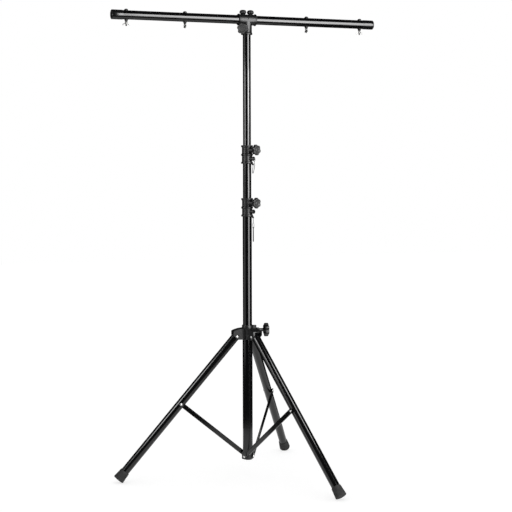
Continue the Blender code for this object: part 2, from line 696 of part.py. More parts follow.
def lock_pin(name, length, ring_diameter, ring_turn, ring_drop):
    """A lock pin along -Z from its head, with a wire ring through the head."""
    radius = LOCK_PIN_DIAMETER / 2
    head = LOCK_PIN_HEAD_DIAMETER / 2
    body = turned([(0, -length), (0.6 * radius, -length), (radius, -length + 0.002), (radius, 0),
                   (head, 0), (head, 0.7 * LOCK_PIN_HEAD_LENGTH),
                   (0.7 * head, LOCK_PIN_HEAD_LENGTH), (0, LOCK_PIN_HEAD_LENGTH)], PIN_SIDES)
    wire = RING_WIRE / 2
    major = ring_diameter / 2 - wire
    loop = [(major + wire * cos(0.4 * pi * k), wire * sin(0.4 * pi * k)) for k in range(5)]
    ring = turned(loop, RING_SIDES, at(*ring_drop) @ ring_turn)
    return worked(name, body, [("UNION", [ring])])


def smooth_route(points, spacing):
    """Even points on a smooth curve through the route's own points."""
    fine = []
    for k in range(len(points) - 1):
        before = points[max(k - 1, 0)]
        start = points[k]
        end = points[k + 1]
        after = points[min(k + 2, len(points) - 1)]
        for step in range(12):
            t = step / 12
            fine.append(0.5 * (2 * start + (end - before) * t
                               + (2 * before - 5 * start + 4 * end - after) * t ** 2
                               + (3 * start - before - 3 * end + after) * t ** 3))
    fine.append(points[-1])
    lengths = [0]
    for a, b in zip(fine, fine[1:]):
        lengths.append(lengths[-1] + (b - a).length)
    count = ceil(lengths[-1] / spacing)
    route = []
    k = 0
    for step in range(count + 1):
        goal = lengths[-1] * step / count
        while k < len(fine) - 2 and lengths[k + 1] < goal:
            k += 1
        share = (goal - lengths[k]) / (lengths[k + 1] - lengths[k])
        route.append(fine[k].lerp(fine[k + 1], share))
    return route


def wire(name, points, material, parent, placed):
    curve = bpy.data.curves.new(name, "CURVE")
    curve.dimensions = "3D"
    curve.bevel_depth = TETHER_DIAMETER / 2
    curve.bevel_resolution = 2
    curve.use_fill_caps = True
    route = smooth_route([Vector(point) for point in points], 3 * TETHER_DIAMETER)
    spline = curve.splines.new("POLY")
    spline.points.add(len(route) - 1)
    for slot, point in zip(spline.points, route):
        slot.co = (*point, 1)
    return place(name, curve, material, parent, placed)


# T head and crossbar

def t_head():
    """The T head, modelled about its lower edge on the mast axis."""
    socket = HEAD_SOCKET_DIAMETER / 2
    lip = HEAD_LIP_DIAMETER / 2
    body = turned([(0, 0), (lip - 0.0008, 0), (lip, 0.0008), (lip, 0.5 * HEAD_LIP_HEIGHT),
                   (socket, HEAD_LIP_HEIGHT), (socket, HEAD_BAR_RISE), (0, HEAD_BAR_RISE)],
                  TUBE_SIDES)
    end = HEAD_SLEEVE_LENGTH / 2
    sleeve = HEAD_SLEEVE_DIAMETER / 2
    flange = HEAD_FLANGE_DIAMETER / 2
    groove = HEAD_GROOVE_WIDTH / 2
    slope = flange - sleeve
    half = [(sleeve - HEAD_GROOVE_DEPTH, groove / 2), (sleeve, groove),
            (sleeve, end - HEAD_FLANGE_WIDTH), (flange, end - HEAD_FLANGE_WIDTH + slope),
            (flange, end - 0.001), (flange - 0.001, end), (0, end)]
    profile = [(radius, -height) for radius, height in reversed(half)] + half
    bar_axis = at(0, 0, HEAD_BAR_RISE)
    boss = HEAD_BOSS_DIAMETER / 2
    knob_axis = spin_about_mast(HEAD_KNOB_AZIMUTH) @ at(0, 0, HEAD_KNOB_RISE) @ ALONG_X
    root = socket - BOSS_OVERLAP
    adds = [turned(profile, TUBE_SIDES, bar_axis @ ALONG_X),
            turned([(0, root), (1.1 * boss, root), (0.92 * boss, HEAD_BOSS_REACH),
                    (0, HEAD_BOSS_REACH)], BOSS_SIDES, knob_axis)]
    cuts = [rod(TOP_RADIUS + GAP, -GAP, HEAD_BAR_RISE, MAST_SIDES),
            rod(BAR_BORE, -2 * end, 2 * end, MAST_SIDES, bar_axis @ ALONG_X),
            rod(KNOB_SCREW_DIAMETER / 2 + GAP, 0, 2 * HEAD_BOSS_REACH, PIN_SIDES, knob_axis)]
    top_boss = BAR_KNOB_BOSS_DIAMETER / 2
    for side in (-1, 1):
        spot = bar_axis @ at(side * BAR_KNOB_OFFSET, 0, 0)
        adds.append(turned([(0, BAR_RADIUS), (1.1 * top_boss, BAR_RADIUS),
                            (0.9 * top_boss, BAR_KNOB_BOSS_RISE), (0, BAR_KNOB_BOSS_RISE)],
                           BOSS_SIDES, spot))
        cuts.append(rod(BAR_KNOB_SCREW_DIAMETER / 2 + GAP, 0, 2 * BAR_KNOB_BOSS_RISE, PIN_SIDES, spot))
    return worked("t_head", body, [("UNION", adds), ("DIFFERENCE", cuts)])


def half_bar():
    """One half of the crossbar along +X from the middle of the head, with its bolt holes."""
    end = BAR_SPAN / 2 - CAP_END_THICKNESS - GAP
    inner = BAR_RADIUS - BAR_WALL
    body = turned([(BAR_RADIUS, end), (BAR_RADIUS, GAP), (inner, GAP), (inner, end)], TUBE_SIDES,
                  ALONG_X)
    hole = BOLT_DIAMETER / 2 + GAP
    holes = []
    for distance in BOLT_FROM_END:
        spot = at(BAR_SPAN / 2 - distance, 0, 0)
        holes.append(rod(hole, -BAR_DIAMETER, BAR_DIAMETER, PIN_SIDES, spot))
    return worked("half_bar", body, [("DIFFERENCE", holes)])


def bar_cap():
    """The plastic cap over an outer end of the crossbar, its closed end outward."""
    end = BAR_SPAN / 2
    bore = BAR_BORE
    outer = bore + CAP_WALL
    start = end - CAP_LENGTH
    return to_mesh("bar_cap", turned([(0, end), (outer - CAP_EDGE, end),
                                      (outer - 0.3 * CAP_EDGE, end - 0.3 * CAP_EDGE),
                                      (outer, end - CAP_EDGE), (outer, start), (bore, start),
                                      (bore, end - CAP_END_THICKNESS),
                                      (0, end - CAP_END_THICKNESS)], TUBE_SIDES, ALONG_X))


def lamp_bolt():
    """A domed bolt down through the crossbar, modelled about the bar's axis."""
    shank = BOLT_DIAMETER / 2
    radius = BOLT_HEAD_DIAMETER / 2
    height = BOLT_HEAD_HEIGHT
    root = BAR_RADIUS + 0.4 * height
    tip = -BAR_RADIUS - BOLT_DROP
    head = turned([(0, BAR_RADIUS - BOLT_SKIRT), (radius, BAR_RADIUS - BOLT_SKIRT),
                   (radius, BAR_RADIUS + 0.2 * height), (0.87 * radius, BAR_RADIUS + 0.6 * height),
                   (0.5 * radius, BAR_RADIUS + 0.93 * height), (0, BAR_RADIUS + height)], BOSS_SIDES)
    round_bar = rod(BAR_BORE, -2 * radius, 2 * radius, TUBE_SIDES, ALONG_X)
    shaft = turned([(0, tip), (0.7 * shank, tip), (shank, tip + 0.001), (shank, root), (0, root)],
                   PIN_SIDES)
    return worked("lamp_bolt", head, [("DIFFERENCE", [round_bar]), ("UNION", [shaft])])


def bolt_saddle():
    """The tapered saddle under the bar, hollowed to the bar and flat where a lamp is clamped."""
    top = -BAR_RADIUS + SADDLE_HUG
    end = -BAR_RADIUS - SADDLE_DROP
    wide = SADDLE_TOP_DIAMETER / 2
    narrow = SADDLE_END_DIAMETER / 2
    body = turned([(0, end), (narrow, end), (narrow, end + 0.3 * SADDLE_DROP),
                   (0.5 * (wide + narrow) - 0.0008, end + 0.7 * SADDLE_DROP), (wide, end + SADDLE_DROP),
                   (wide, top), (0, top)], BOSS_SIDES)
    hole = BOLT_DIAMETER / 2 + GAP
    round_bar = rod(BAR_BORE, -SADDLE_TOP_DIAMETER, SADDLE_TOP_DIAMETER, TUBE_SIDES, ALONG_X)
    return worked("bolt_saddle", body, [("DIFFERENCE", [round_bar, rod(hole, 2 * end, 0, PIN_SIDES)])])


def wing_nut():
    """A wing nut whose wings point outward and down, modelled about its upper face."""
    radius = NUT_DIAMETER / 2
    span = WING_SPAN / 2
    drop = -WING_DROP
    hole = BOLT_DIAMETER / 2 + GAP
    body = turned([(0, 0), (radius, 0), (0.9 * radius, -NUT_HEIGHT), (0, -NUT_HEIGHT)], PIN_SIDES)
    wing = [(hole + 0.0005, -0.0008), (0.5 * span, -0.0022), (0.86 * span, 0.52 * drop),
            (span, 0.80 * drop), (0.95 * span, drop), (0.80 * span, drop),
            (0.55 * span, 0.72 * drop), (hole + 0.0005, -0.85 * NUT_HEIGHT)]
    half = WING_THICKNESS / 2
    wings = [prism(wing, -half, half, spin_about_mast(turn) @ UPRIGHT) for turn in (0, 180)]
    bore = rod(hole, -2 * NUT_HEIGHT, NUT_HEIGHT, PIN_SIDES)
    return worked("wing_nut", body, [("UNION", wings), ("DIFFERENCE", [bore])])


# Assembly

def build_base(stand, paint, plastic, zinc):
    place("base_bracket", base_bracket(), plastic, stand)
    place("lower_tube", lower_tube(), paint, stand)
    screw = strut_foot_screw()
    for k, azimuth in enumerate(LEG_AZIMUTHS, 1):
        spot = spin_about_mast(azimuth) @ at(STRUT_FOOT_OFFSET, 0, STRUT_FOOT_HEIGHT)
        place(f"strut_foot_screw_{k}", screw, zinc, stand, spot)


def build_hub(stand, paint, plastic, rubber, zinc):
    carrier = joint("hub_carrier", stand, at(0, 0, HUB_PIVOT))
    place("hub", hub(), plastic, carrier)
    place("guide_tube", guide_tube(), paint, carrier)
    knob_screw = HUB_BOSS_REACH - LOWER_RADIUS
    knob = star_knob("hub_knob", HUB_KNOB_DIAMETER, HUB_KNOB_THICKNESS, HUB_KNOB_NECK, knob_screw)
    face = at(HUB_BOSS_REACH + GAP, 0, HUB_BOSS_RISE) @ ALONG_X
    place("hub_knob", knob, plastic, carrier, spin_about_mast(HUB_BOSS_AZIMUTH) @ face)
    shapes = {"leg_pin": leg_pin(), "leg_tube": leg_tube(), "foot": foot(), "leg_rivet": leg_rivet()}
    for k, azimuth in enumerate(LEG_AZIMUTHS, 1):
        side = spin_about_mast(azimuth)
        place(f"leg_pin_{k}", shapes["leg_pin"], zinc, carrier, side @ at(HUB_PIVOT_RADIUS, 0, 0))
        leg = joint(f"leg_{k}", carrier, side @ leg_frame())
        place(f"leg_tube_{k}", shapes["leg_tube"], paint, leg)
        place(f"foot_{k}", shapes["foot"], rubber, leg)
        place(f"leg_rivet_{k}", shapes["leg_rivet"], zinc, leg, at(0, 0, -STRUT_REACH))


def build_struts(stand, paint, zinc):
    flat = strut()
    pin = strut_pin()
    for k, azimuth in enumerate(LEG_AZIMUTHS, 1):
        foot_pivot = spin_about_mast(azimuth) @ at(STRUT_FOOT_OFFSET, 0, STRUT_FOOT_HEIGHT)
        swing = joint(f"strut_{k}_swing", stand, foot_pivot @ Matrix.Rotation(STRUT_TILT, 4, "Y"))
        place(f"strut_{k}", flat, paint, swing)
        place(f"strut_pin_{k}", pin, zinc, swing, at(0, 0, STRUT_LENGTH))


def build_collar(prefix, carrier, low, fixed_radius, sliding_radius, plastic):
    """A collar with its star knob, on the end of the tube that it is fixed to."""
    side = spin_about_mast(COLLAR_AZIMUTH) @ at(0, 0, low)
    place(f"{prefix}_collar", collar(f"{prefix}_collar", fixed_radius, sliding_radius), plastic,
          carrier, side)
    knob_screw = COLLAR_KNOB_BOSS_REACH - sliding_radius
    knob = star_knob(f"{prefix}_knob", COLLAR_KNOB_DIAMETER, COLLAR_KNOB_THICKNESS,
                     COLLAR_KNOB_NECK, knob_screw)
    face = at(COLLAR_KNOB_BOSS_REACH + GAP, 0, COLLAR_HEIGHT - COLLAR_KNOB_DROP) @ ALONG_X
    place(f"{prefix}_knob", knob, plastic, carrier, side @ face)


def build_lower_lock(stand, steel):
    """The lower lock pin hangs free on a short wire and a ring below its collar's lug."""
    lug = LOWER_COLLAR_TOP - COLLAR_HEIGHT - COLLAR_LUG_DROP - GAP
    hook = at(COLLAR_LUG_REACH - COLLAR_LUG_HOLE, 0, lug - TETHER_HOOK)
    swing = joint("lower_pin_swing", stand, spin_about_mast(COLLAR_AZIMUTH) @ hook)
    end = TETHER_HOOK - LOWER_TETHER_DROP
    wire("lower_tether", [(0, 0, TETHER_HOOK), (LOWER_TETHER_LEAN, 0, 0.4 * end),
                          (LOWER_TETHER_LEAN, 0, end)], steel, swing, Matrix())
    ring = LOWER_RING_DIAMETER / 2
    lift = LOCK_PIN_HEAD_LENGTH / 2
    turn = Matrix.Rotation(radians(LOWER_RING_TURN), 4, "Z") @ ALONG_X
    pin = lock_pin("lower_lock_pin", LOCK_PIN_LENGTH, LOWER_RING_DIAMETER, turn,
                   (0, 0, ring - RING_WIRE / 2 + lift))
    top = end - GAP - LOWER_RING_DIAMETER + RING_WIRE / 2 - lift
    place("lower_lock_pin", pin, steel, swing, at(LOWER_TETHER_LEAN, 0, top))


def build_upper_lock(middle, steel):
    """The upper lock pin sits in its boss, and its wire loops back to the collar's lug."""
    low = UPPER_COLLAR_TOP - COLLAR_HEIGHT
    side = spin_about_mast(COLLAR_AZIMUTH) @ at(0, 0, low)
    ring = UPPER_RING_DIAMETER / 2
    length = COLLAR_PIN_BOSS_REACH - TOP_RADIUS
    sink = ring - RING_WIRE / 2
    pin = lock_pin("upper_lock_pin", length, UPPER_RING_DIAMETER, Matrix(),
                   (sink, 0, LOCK_PIN_HEAD_LENGTH / 2))
    seat = at(COLLAR_PIN_BOSS_REACH + GAP, 0, COLLAR_PIN_RISE) @ ALONG_X
    place("upper_lock_pin", pin, steel, middle, side @ seat)
    start_r = COLLAR_LUG_REACH - COLLAR_LUG_HOLE
    end_r = COLLAR_PIN_BOSS_REACH + GAP + LOCK_PIN_HEAD_LENGTH / 2
    end_z = COLLAR_PIN_RISE - UPPER_RING_DIAMETER + RING_WIRE / 2 - GAP
    sag = -UPPER_TETHER_SAG
    route = [(start_r, 0, -COLLAR_LUG_DROP - GAP), (0.0302, 0, 0.41 * sag), (0.0286, 0, 0.65 * sag),
             (0.0277, 0, 0.86 * sag), (0.0286, 0, sag), (0.0312, 0, sag), (0.0340, 0, 0.82 * sag),
             (0.0368, 0, 0.58 * sag), (0.0388, 0, 0.33 * sag), (0.0392, 0, 0.09 * sag),
             (end_r, 0, end_z)]
    wire("upper_tether", route, steel, middle, side)


def build_crossbar(head, paint, plastic, zinc):
    bar = half_bar()
    cap = bar_cap()
    bolt = lamp_bolt()
    saddle = bolt_saddle()
    nut = wing_nut()
    nut_seat = at(0, 0, -BAR_RADIUS - SADDLE_DROP - NUT_SLACK)
    for word, turn in (("right", 0), ("left", 180)):
        half = joint(f"bar_{word}_slide", head, at(0, 0, HEAD_BAR_RISE) @ spin_about_mast(turn))
        place(f"bar_{word}", bar, paint, half)
        place(f"bar_cap_{word}", cap, plastic, half)
        for place_word, distance, wings in (("outer", BOLT_FROM_END[0], 0), ("inner", BOLT_FROM_END[1], 90)):
            spot = at(BAR_SPAN / 2 - distance, 0, 0)
            place(f"lamp_bolt_{word}_{place_word}", bolt, plastic, half, spot)
            place(f"bolt_saddle_{word}_{place_word}", saddle, plastic, half, spot)
            place(f"wing_nut_{word}_{place_word}", nut, zinc, half,
                  spot @ nut_seat @ spin_about_mast(wings))


def build_head(top, paint, plastic, zinc):
    head = joint("head_swivel", top, at(0, 0, HEAD_START))
    place("t_head", t_head(), plastic, head)
    knob_screw = HEAD_BOSS_REACH - TOP_RADIUS
    knob = star_knob("head_knob", HEAD_KNOB_DIAMETER, HEAD_KNOB_THICKNESS, HEAD_KNOB_NECK, knob_screw)
    face = at(HEAD_BOSS_REACH + GAP, 0, HEAD_KNOB_RISE) @ ALONG_X
    place("head_knob", knob, plastic, head, spin_about_mast(HEAD_KNOB_AZIMUTH) @ face)
    small = bar_knob()
    rise = HEAD_BAR_RISE + BAR_KNOB_BOSS_RISE + GAP
    for word, side in (("right", 1), ("left", -1)):
        place(f"bar_knob_{word}", small, plastic, head, at(side * BAR_KNOB_OFFSET, 0, rise))
    build_crossbar(head, paint, plastic, zinc)


def main():
    clear_scene()
    paint = finish("gloss_black_paint", (0.010, 0.010, 0.011), 0.22, 0.0)
    plastic = finish("satin_black_plastic", (0.022, 0.022, 0.023), 0.45, 0.0)
    rubber = finish("black_rubber", (0.030, 0.030, 0.030), 0.80, 0.0)
    zinc = finish("zinc_plate", (0.62, 0.62, 0.60), 0.35, 1.0)
    steel = finish("steel_wire", (0.40, 0.40, 0.40), 0.40, 1.0)
    stand = joint("light_stand", None, Matrix())
    build_base(stand, paint, plastic, zinc)
    build_hub(stand, paint, plastic, rubber, zinc)
    build_struts(stand, paint, zinc)
    build_collar("lower", stand, LOWER_COLLAR_TOP - COLLAR_HEIGHT, LOWER_RADIUS, MID_RADIUS, plastic)
    build_lower_lock(stand, steel)
    middle = joint("mid_slide", stand, Matrix())
    place("mid_tube", mid_tube(), paint, middle)
    build_collar("upper", middle, UPPER_COLLAR_TOP - COLLAR_HEIGHT, MID_RADIUS, TOP_RADIUS, plastic)
    build_upper_lock(middle, steel)
    top = joint("top_slide", middle, Matrix())
    low = TOP_TUBE_END - TOP_TUBE_LENGTH
    shaft = tube(TOP_RADIUS, TOP_TUBE_WALL, low, TOP_TUBE_END, MAST_SIDES)
    place("top_tube", to_mesh("top_tube", shaft), paint, top)
    build_head(top, paint, plastic, zinc)


main()
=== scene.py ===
"""Dresses a lighting stand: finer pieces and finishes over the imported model, and a plain studio."""

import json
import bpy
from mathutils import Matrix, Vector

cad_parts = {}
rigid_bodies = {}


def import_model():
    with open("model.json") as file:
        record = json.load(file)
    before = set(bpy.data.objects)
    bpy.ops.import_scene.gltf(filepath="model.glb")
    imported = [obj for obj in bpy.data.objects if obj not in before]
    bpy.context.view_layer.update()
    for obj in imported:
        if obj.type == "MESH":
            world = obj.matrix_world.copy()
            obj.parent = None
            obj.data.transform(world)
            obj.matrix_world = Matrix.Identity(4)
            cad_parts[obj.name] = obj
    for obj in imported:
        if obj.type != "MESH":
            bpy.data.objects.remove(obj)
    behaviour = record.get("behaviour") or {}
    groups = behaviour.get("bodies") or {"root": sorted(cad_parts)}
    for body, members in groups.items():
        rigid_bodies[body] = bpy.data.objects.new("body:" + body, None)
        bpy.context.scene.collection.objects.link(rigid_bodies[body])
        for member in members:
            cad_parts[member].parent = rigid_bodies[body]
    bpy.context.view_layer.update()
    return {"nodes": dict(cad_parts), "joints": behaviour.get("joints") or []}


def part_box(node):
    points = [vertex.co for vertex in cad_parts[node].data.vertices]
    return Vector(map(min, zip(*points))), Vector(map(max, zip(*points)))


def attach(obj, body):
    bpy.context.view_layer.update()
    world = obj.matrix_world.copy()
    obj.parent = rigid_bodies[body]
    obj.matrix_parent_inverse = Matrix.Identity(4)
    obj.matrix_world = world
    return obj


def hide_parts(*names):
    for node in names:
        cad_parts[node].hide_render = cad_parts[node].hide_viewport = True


bl_info = {
    "name": "Lighting Stand",
    "version": (1, 0, 0),
    "blender": (4, 5, 0),
    "location": "3D View > Sidebar > Lighting Stand",
    "description": "Builds the fine pieces, finishes and studio of a tripod lighting stand with a T-bar",
    "category": "Object",
}

from math import ceil, cos, hypot, pi, radians, sin

import bmesh
import bpy
from bpy.props import FloatProperty, FloatVectorProperty, IntProperty, PointerProperty
from mathutils import Matrix, Vector

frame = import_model()


def joint_place(name):
    """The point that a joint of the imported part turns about."""
    return next(item["pos_m"] for item in frame["joints"] if item["name"] == name)


GAP = 0.0003
LEG_AZIMUTHS = (171.5, 291.5, 51.5)
BAR_SIDES = (("right", 0), ("left", pi))
HUB_PIVOT = joint_place("leg_1_fold")[2]
PIN_SWING = joint_place("lower_pin_swing")
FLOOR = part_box("foot_1")[0].z
HEAD_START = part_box("t_head")[0].z
BAR_AXIS = (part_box("bar_right")[0].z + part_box("bar_right")[1].z) / 2
ALONG_X = Matrix.Rotation(radians(90), 4, "Y")
ALONG_Y = Matrix.Rotation(radians(-90), 4, "X")
UPRIGHT = Matrix.Rotation(radians(90), 4, "X")

LEG_PIN_RADIUS = 0.004
STRUT_RIVET_RADIUS = 0.003
BALL_SCREW_RADIUS = 0.003
UPPER_WIRE_SAG = -0.0352
LOWER_WIRE_HOOK = 0.0012
LOWER_WIRE_LEAN = 0.0006
KEY_AZIMUTH = -66.5
KEY_DISTANCE = 3.0
KEY_WIDTH = 1.9
FLOOR_HALF = 12
FLOOR_THICKNESS = 0.0118
FLOOR_DROP = 0.0002
CLOTH_START = 0.95
CLOTH_RADIUS = 4.2
CLOTH_HEIGHT = 5.2
CLOTH_ROOF = 6.2


# Sizes and colours that a user may change

def length(label, words, value):
    return FloatProperty(name=label, description=words, default=value, min=0, unit="LENGTH", precision=4)


def degrees_of(label, words, value):
    return FloatProperty(name=label, description=words, default=radians(value), subtype="ANGLE")


def colour(label, words, value):
    return FloatVectorProperty(name=label, description=words, default=value, size=3, min=0, max=1,
                               subtype="COLOR")


def share(label, words, value):
    return FloatProperty(name=label, description=words, default=value, min=0, max=1, subtype="FACTOR")


class CollarSizes(bpy.types.PropertyGroup):
    height: length("Height", "From the lower ring's face to the upper ring's", 0.070)
    ring: length("Ring diameter", "Across the three rings", 0.045)
    body: length("Body diameter", "Across the body between the rings", 0.039)
    ring_height: length("Ring height", "Height of each ring", 0.0075)
    middle: length("Middle ring", "Height of the middle ring's centre", 0.034)
    inset: length("Tube inset", "From the top down to the fixed tube's end", 0.029)
    azimuth: degrees_of("Azimuth", "Direction in which the bosses point", 296.7)
    knob_drop: length("Knob drop", "From the top down to the knob's axis", 0.0185)
    knob_boss: length("Knob boss diameter", "Across the knob's boss", 0.018)
    knob_reach: length("Knob boss reach", "From the mast's axis to the boss's face", 0.0325)
    pin_rise: length("Pin rise", "Height of the lock pin's axis", 0.019)
    pin_boss: length("Pin boss diameter", "Across the lock pin's boss", 0.016)
    pin_reach: length("Pin boss reach", "From the mast's axis to the boss's face", 0.0355)
    lug_reach: length("Lug reach", "From the mast's axis to the lug's tip", 0.0344)
    lug_drop: length("Lug drop", "How far the lug hangs below the collar", 0.006)
    lug_thickness: length("Lug thickness", "Thickness of the wire's lug", 0.003)


class KnobSizes(bpy.types.PropertyGroup):
    lobes: IntProperty(name="Lobes", description="Lobes on a star knob", default=6, min=3, max=12)
    lobe_depth: share("Lobe depth", "Depth of the valleys, as a share of the radius", 0.17)
    neck: length("Neck diameter", "Across the necks of the hub's and the head's knobs", 0.014)
    collar_neck: length("Collar knob neck", "Across the necks of the collars' knobs", 0.0172)
    screw: length("Screw diameter", "Across a star knob's screw", 0.007)
    collar_knob: length("Collar knob diameter", "Across the lobes", 0.041)
    hub_knob: length("Hub knob diameter", "Across the lobes", 0.052)
    head_knob: length("Head knob diameter", "Across the lobes", 0.043)
    thickness: length("Knob thickness", "Thickness of the collars' and the head's knobs", 0.0125)
    hub_thickness: length("Hub knob thickness", "Thickness of the hub's knob", 0.0165)
    collar_stand: length("Collar knob stand-off", "From a collar's boss to its knob", 0.0085)
    hub_stand: length("Hub knob stand-off", "From the hub's boss to its knob", 0.0195)
    head_stand: length("Head knob stand-off", "From the head's boss to its knob", 0.0075)
    bar_knob: length("Bar knob diameter", "Across the fluted ball knobs", 0.027)
    bar_knob_height: length("Bar knob height", "From the boss to the crown", 0.0153)
    flutes: IntProperty(name="Flutes", description="Flutes on a ball knob", default=8, min=4, max=16)


class HubSizes(bpy.types.PropertyGroup):
    pivot_radius: length("Pivot radius", "From the mast's axis to the leg pins", 0.045)
    reach: length("Arm reach", "From the mast's axis to the arms' ends", 0.0625)
    width: length("Arm width", "Across an arm", 0.044)
    cheek: length("Cheek", "Thickness of an arm's cheeks", 0.0055)
    below: length("Below the pins", "From the pins down to the underside", 0.012)
    roof_inner: length("Roof at the collar", "Height of the roof beside the collar", 0.031)
    roof_outer: length("Roof at the rim", "Height of the roof at the arms' ends", 0.021)
    collar: length("Collar diameter", "Across the top collar", 0.043)
    collar_height: length("Collar height", "Height of the top collar", 0.0105)
    lower_cut: length("Lower cut", "Size of the cut under the arms' ends", 0.0165)
    boss_azimuth: degrees_of("Boss azimuth", "Direction in which the knob's boss points", 351.5)
    boss_rise: length("Boss rise", "Height of the knob's axis above the pins", 0.0215)
    boss: length("Boss diameter", "Across the knob's boss", 0.020)
    boss_reach: length("Boss reach", "From the mast's axis to the boss's face", 0.045)


class HeadSizes(bpy.types.PropertyGroup):
    socket: length("Socket diameter", "Across the mast socket", 0.039)
    lip: length("Lip diameter", "Across the socket's lower lip", 0.0425)
    lip_height: length("Lip height", "Height of the lower lip", 0.009)
    sleeve: length("Sleeve diameter", "Across the crossbar's sleeve", 0.040)
    sleeve_length: length("Sleeve length", "From end to end of the sleeve", 0.070)
    flange: length("Flange diameter", "Across the lips at the sleeve's ends", 0.044)
    flange_width: length("Flange width", "Width of the lips", 0.0055)
    knob_azimuth: degrees_of("Knob azimuth", "Direction in which the knob's boss points", 230.5)
    knob_rise: length("Knob rise", "Height of the knob's axis", 0.0183)
    boss: length("Boss diameter", "Across the knob's boss", 0.017)
    boss_reach: length("Boss reach", "From the mast's axis to the boss's face", 0.031)
    bar_knob_offset: length("Bar knob offset", "From the middle to each bar knob", 0.015)
    bar_boss: length("Bar knob boss", "Across the bosses of the bar knobs", 0.019)
    bar_boss_rise: length("Bar boss rise", "From the bar's axis to the boss's face", 0.021)


class BarSizes(bpy.types.PropertyGroup):
    bar: length("Bar diameter", "Across the crossbar", 0.033)
    span: length("Span", "From end to end of the crossbar", 1.047)
    wall: length("Bar wall", "Wall of the crossbar", 0.0015)
    cap: length("Cap length", "Length of the end caps", 0.044)
    cap_edge: length("Cap edge", "Rounding of the caps' rims", 0.0025)
    bolt: length("Bolt diameter", "Across the lamp bolts", 0.006)
    bolt_head: length("Bolt head", "Across the bolts' domed heads", 0.0145)
    bolt_height: length("Head height", "Height of the domed heads", 0.0058)
    bolt_drop: length("Bolt drop", "How far the bolts stand out below the bar", 0.0235)
    saddle: length("Saddle diameter", "Across the saddles' upper ends", 0.015)
    saddle_end: length("Saddle end", "Across the saddles' lower ends", 0.010)
    saddle_drop: length("Saddle drop", "Height of the saddles below the bar", 0.0080)
    nut: length("Nut diameter", "Across the wing nuts' barrels", 0.010)
    nut_height: length("Nut height", "Height of the barrels", 0.0065)
    nut_slack: length("Nut slack", "From a saddle down to its wing nut", 0.0026)
    wing_span: length("Wing span", "Across the wings", 0.027)
    wing_drop: length("Wing drop", "How far the wings hang down", 0.0104)
    wing: length("Wing thickness", "Thickness of the wings", 0.0024)


class LegSizes(bpy.types.PropertyGroup):
    leg: length("Leg diameter", "Across a leg tube", 0.032)
    leg_length: length("Leg length", "From the hub pin to the sole", 0.699)
    spread: degrees_of("Spread", "Angle between a leg and the mast", 40.5)
    wall: length("Leg wall", "Wall of a leg tube", 0.0015)
    overhang: length("Leg overhang", "From the hub pin to a leg's upper end", 0.010)
    strut_reach: length("Strut reach", "From the hub pin to the strut's rivet", 0.332)
    mast_wall: length("Mast wall", "Wall of the mast's tubes", 0.0007)
    foot_height: length("Foot height", "Height of a foot along its leg", 0.040)
    foot_top: length("Foot top diameter", "Across a foot's upper end", 0.0365)
    sole: length("Sole diameter", "Across a foot's sole", 0.043)
    sole_thickness: length("Sole thickness", "Rubber below the tube's end", 0.004)


class LockSizes(bpy.types.PropertyGroup):
    pin: length("Pin diameter", "Across a lock pin", 0.004)
    lower_length: length("Lower pin length", "Length of the hanging pin", 0.052)
    head: length("Pin head diameter", "Across a lock pin's head", 0.0068)
    head_length: length("Pin head length", "Length of a lock pin's head", 0.003)
    ring_wire: length("Ring wire", "Thickness of the rings", 0.0016)
    upper_ring: length("Upper ring diameter", "Across the upper pin's ring", 0.012)
    lower_ring: length("Lower ring diameter", "Across the lower pin's ring", 0.020)
    wire: length("Wire diameter", "Across the steel wires", 0.0021)


class FinishColours(bpy.types.PropertyGroup):
    paint: colour("Paint", "Gloss enamel on the tubes", (0.003, 0.003, 0.0033))
    plastic: colour("Plastic", "Moulded collars, hub, head and knobs", (0.006, 0.006, 0.0065))
    rubber: colour("Rubber", "Feet", (0.014, 0.014, 0.014))
    # A knob's outward face gets this paler colour: a painted highlight for the light that falls on it.
    lit_face: colour("Knob face", "Rough faces of the star knobs", (0.060, 0.060, 0.060))
    # Zinc darkened far below the rivets' plating: painted shade for the dark surroundings that the nuts and
    # shafts reflect.
    zinc: colour("Zinc", "Bolt shafts and wing nuts", (0.15, 0.15, 0.147))
    rivet: colour("Rivets", "Leg pins, strut rivets and screws", (0.72, 0.72, 0.71))
    # Steel darkened to near black: painted shade for the dark surroundings that the pins, rings and wires
    # reflect.
    steel: colour("Steel wire", "Lock pins, rings and wires", (0.055, 0.055, 0.055))
    gloss: share("Paint roughness", "Roughness of the gloss enamel", 0.10)
    satin: share("Plastic roughness", "Roughness of the moulded plastic", 0.37)
    cap_gloss: share("Cap roughness", "Roughness of the crossbar's end caps", 0.08)


class StudioSettings(bpy.types.PropertyGroup):
    distance: length("Camera distance", "From the mast to the camera, along the floor", 4.942)
    height: length("Camera height", "Camera's height above the base bracket", 1.097)
    azimuth: degrees_of("Camera azimuth", "Camera's direction from the mast", -110.3)
    pitch: degrees_of("Pitch", "How far the camera looks down", 3.65)
    pan: degrees_of("Pan", "How far the camera looks past the mast, to its right", 0.385)
    roll: degrees_of("Roll", "Tilt of the camera's frame", -0.13)
    lens: FloatProperty(name="Lens", description="Focal length in millimetres", default=91.4, min=10)
    backdrop: colour("Backdrop", "Floor and background", (1.0, 1.0, 1.0))
    shadow: share("Shadow", "Depth of the floor's shadows", 0.45)
    key: FloatProperty(name="Key light", description="Strength of the tall soft box", default=14.0, min=0)
    leg_light: FloatProperty(name="Leg lights", description="Strength of the legs' soft boxes", default=11.0,
                             min=0)
    fill: FloatProperty(name="Fill light", description="Strength of the side soft box", default=1.5, min=0)


GROUPS = {
    "stand_collars": CollarSizes,
    "stand_knobs": KnobSizes,
    "stand_hub": HubSizes,
    "stand_head": HeadSizes,
    "stand_bar": BarSizes,
    "stand_legs": LegSizes,
    "stand_locks": LockSizes,
    "stand_colours": FinishColours,
    "stand_studio": StudioSettings,
}


# Shader maths

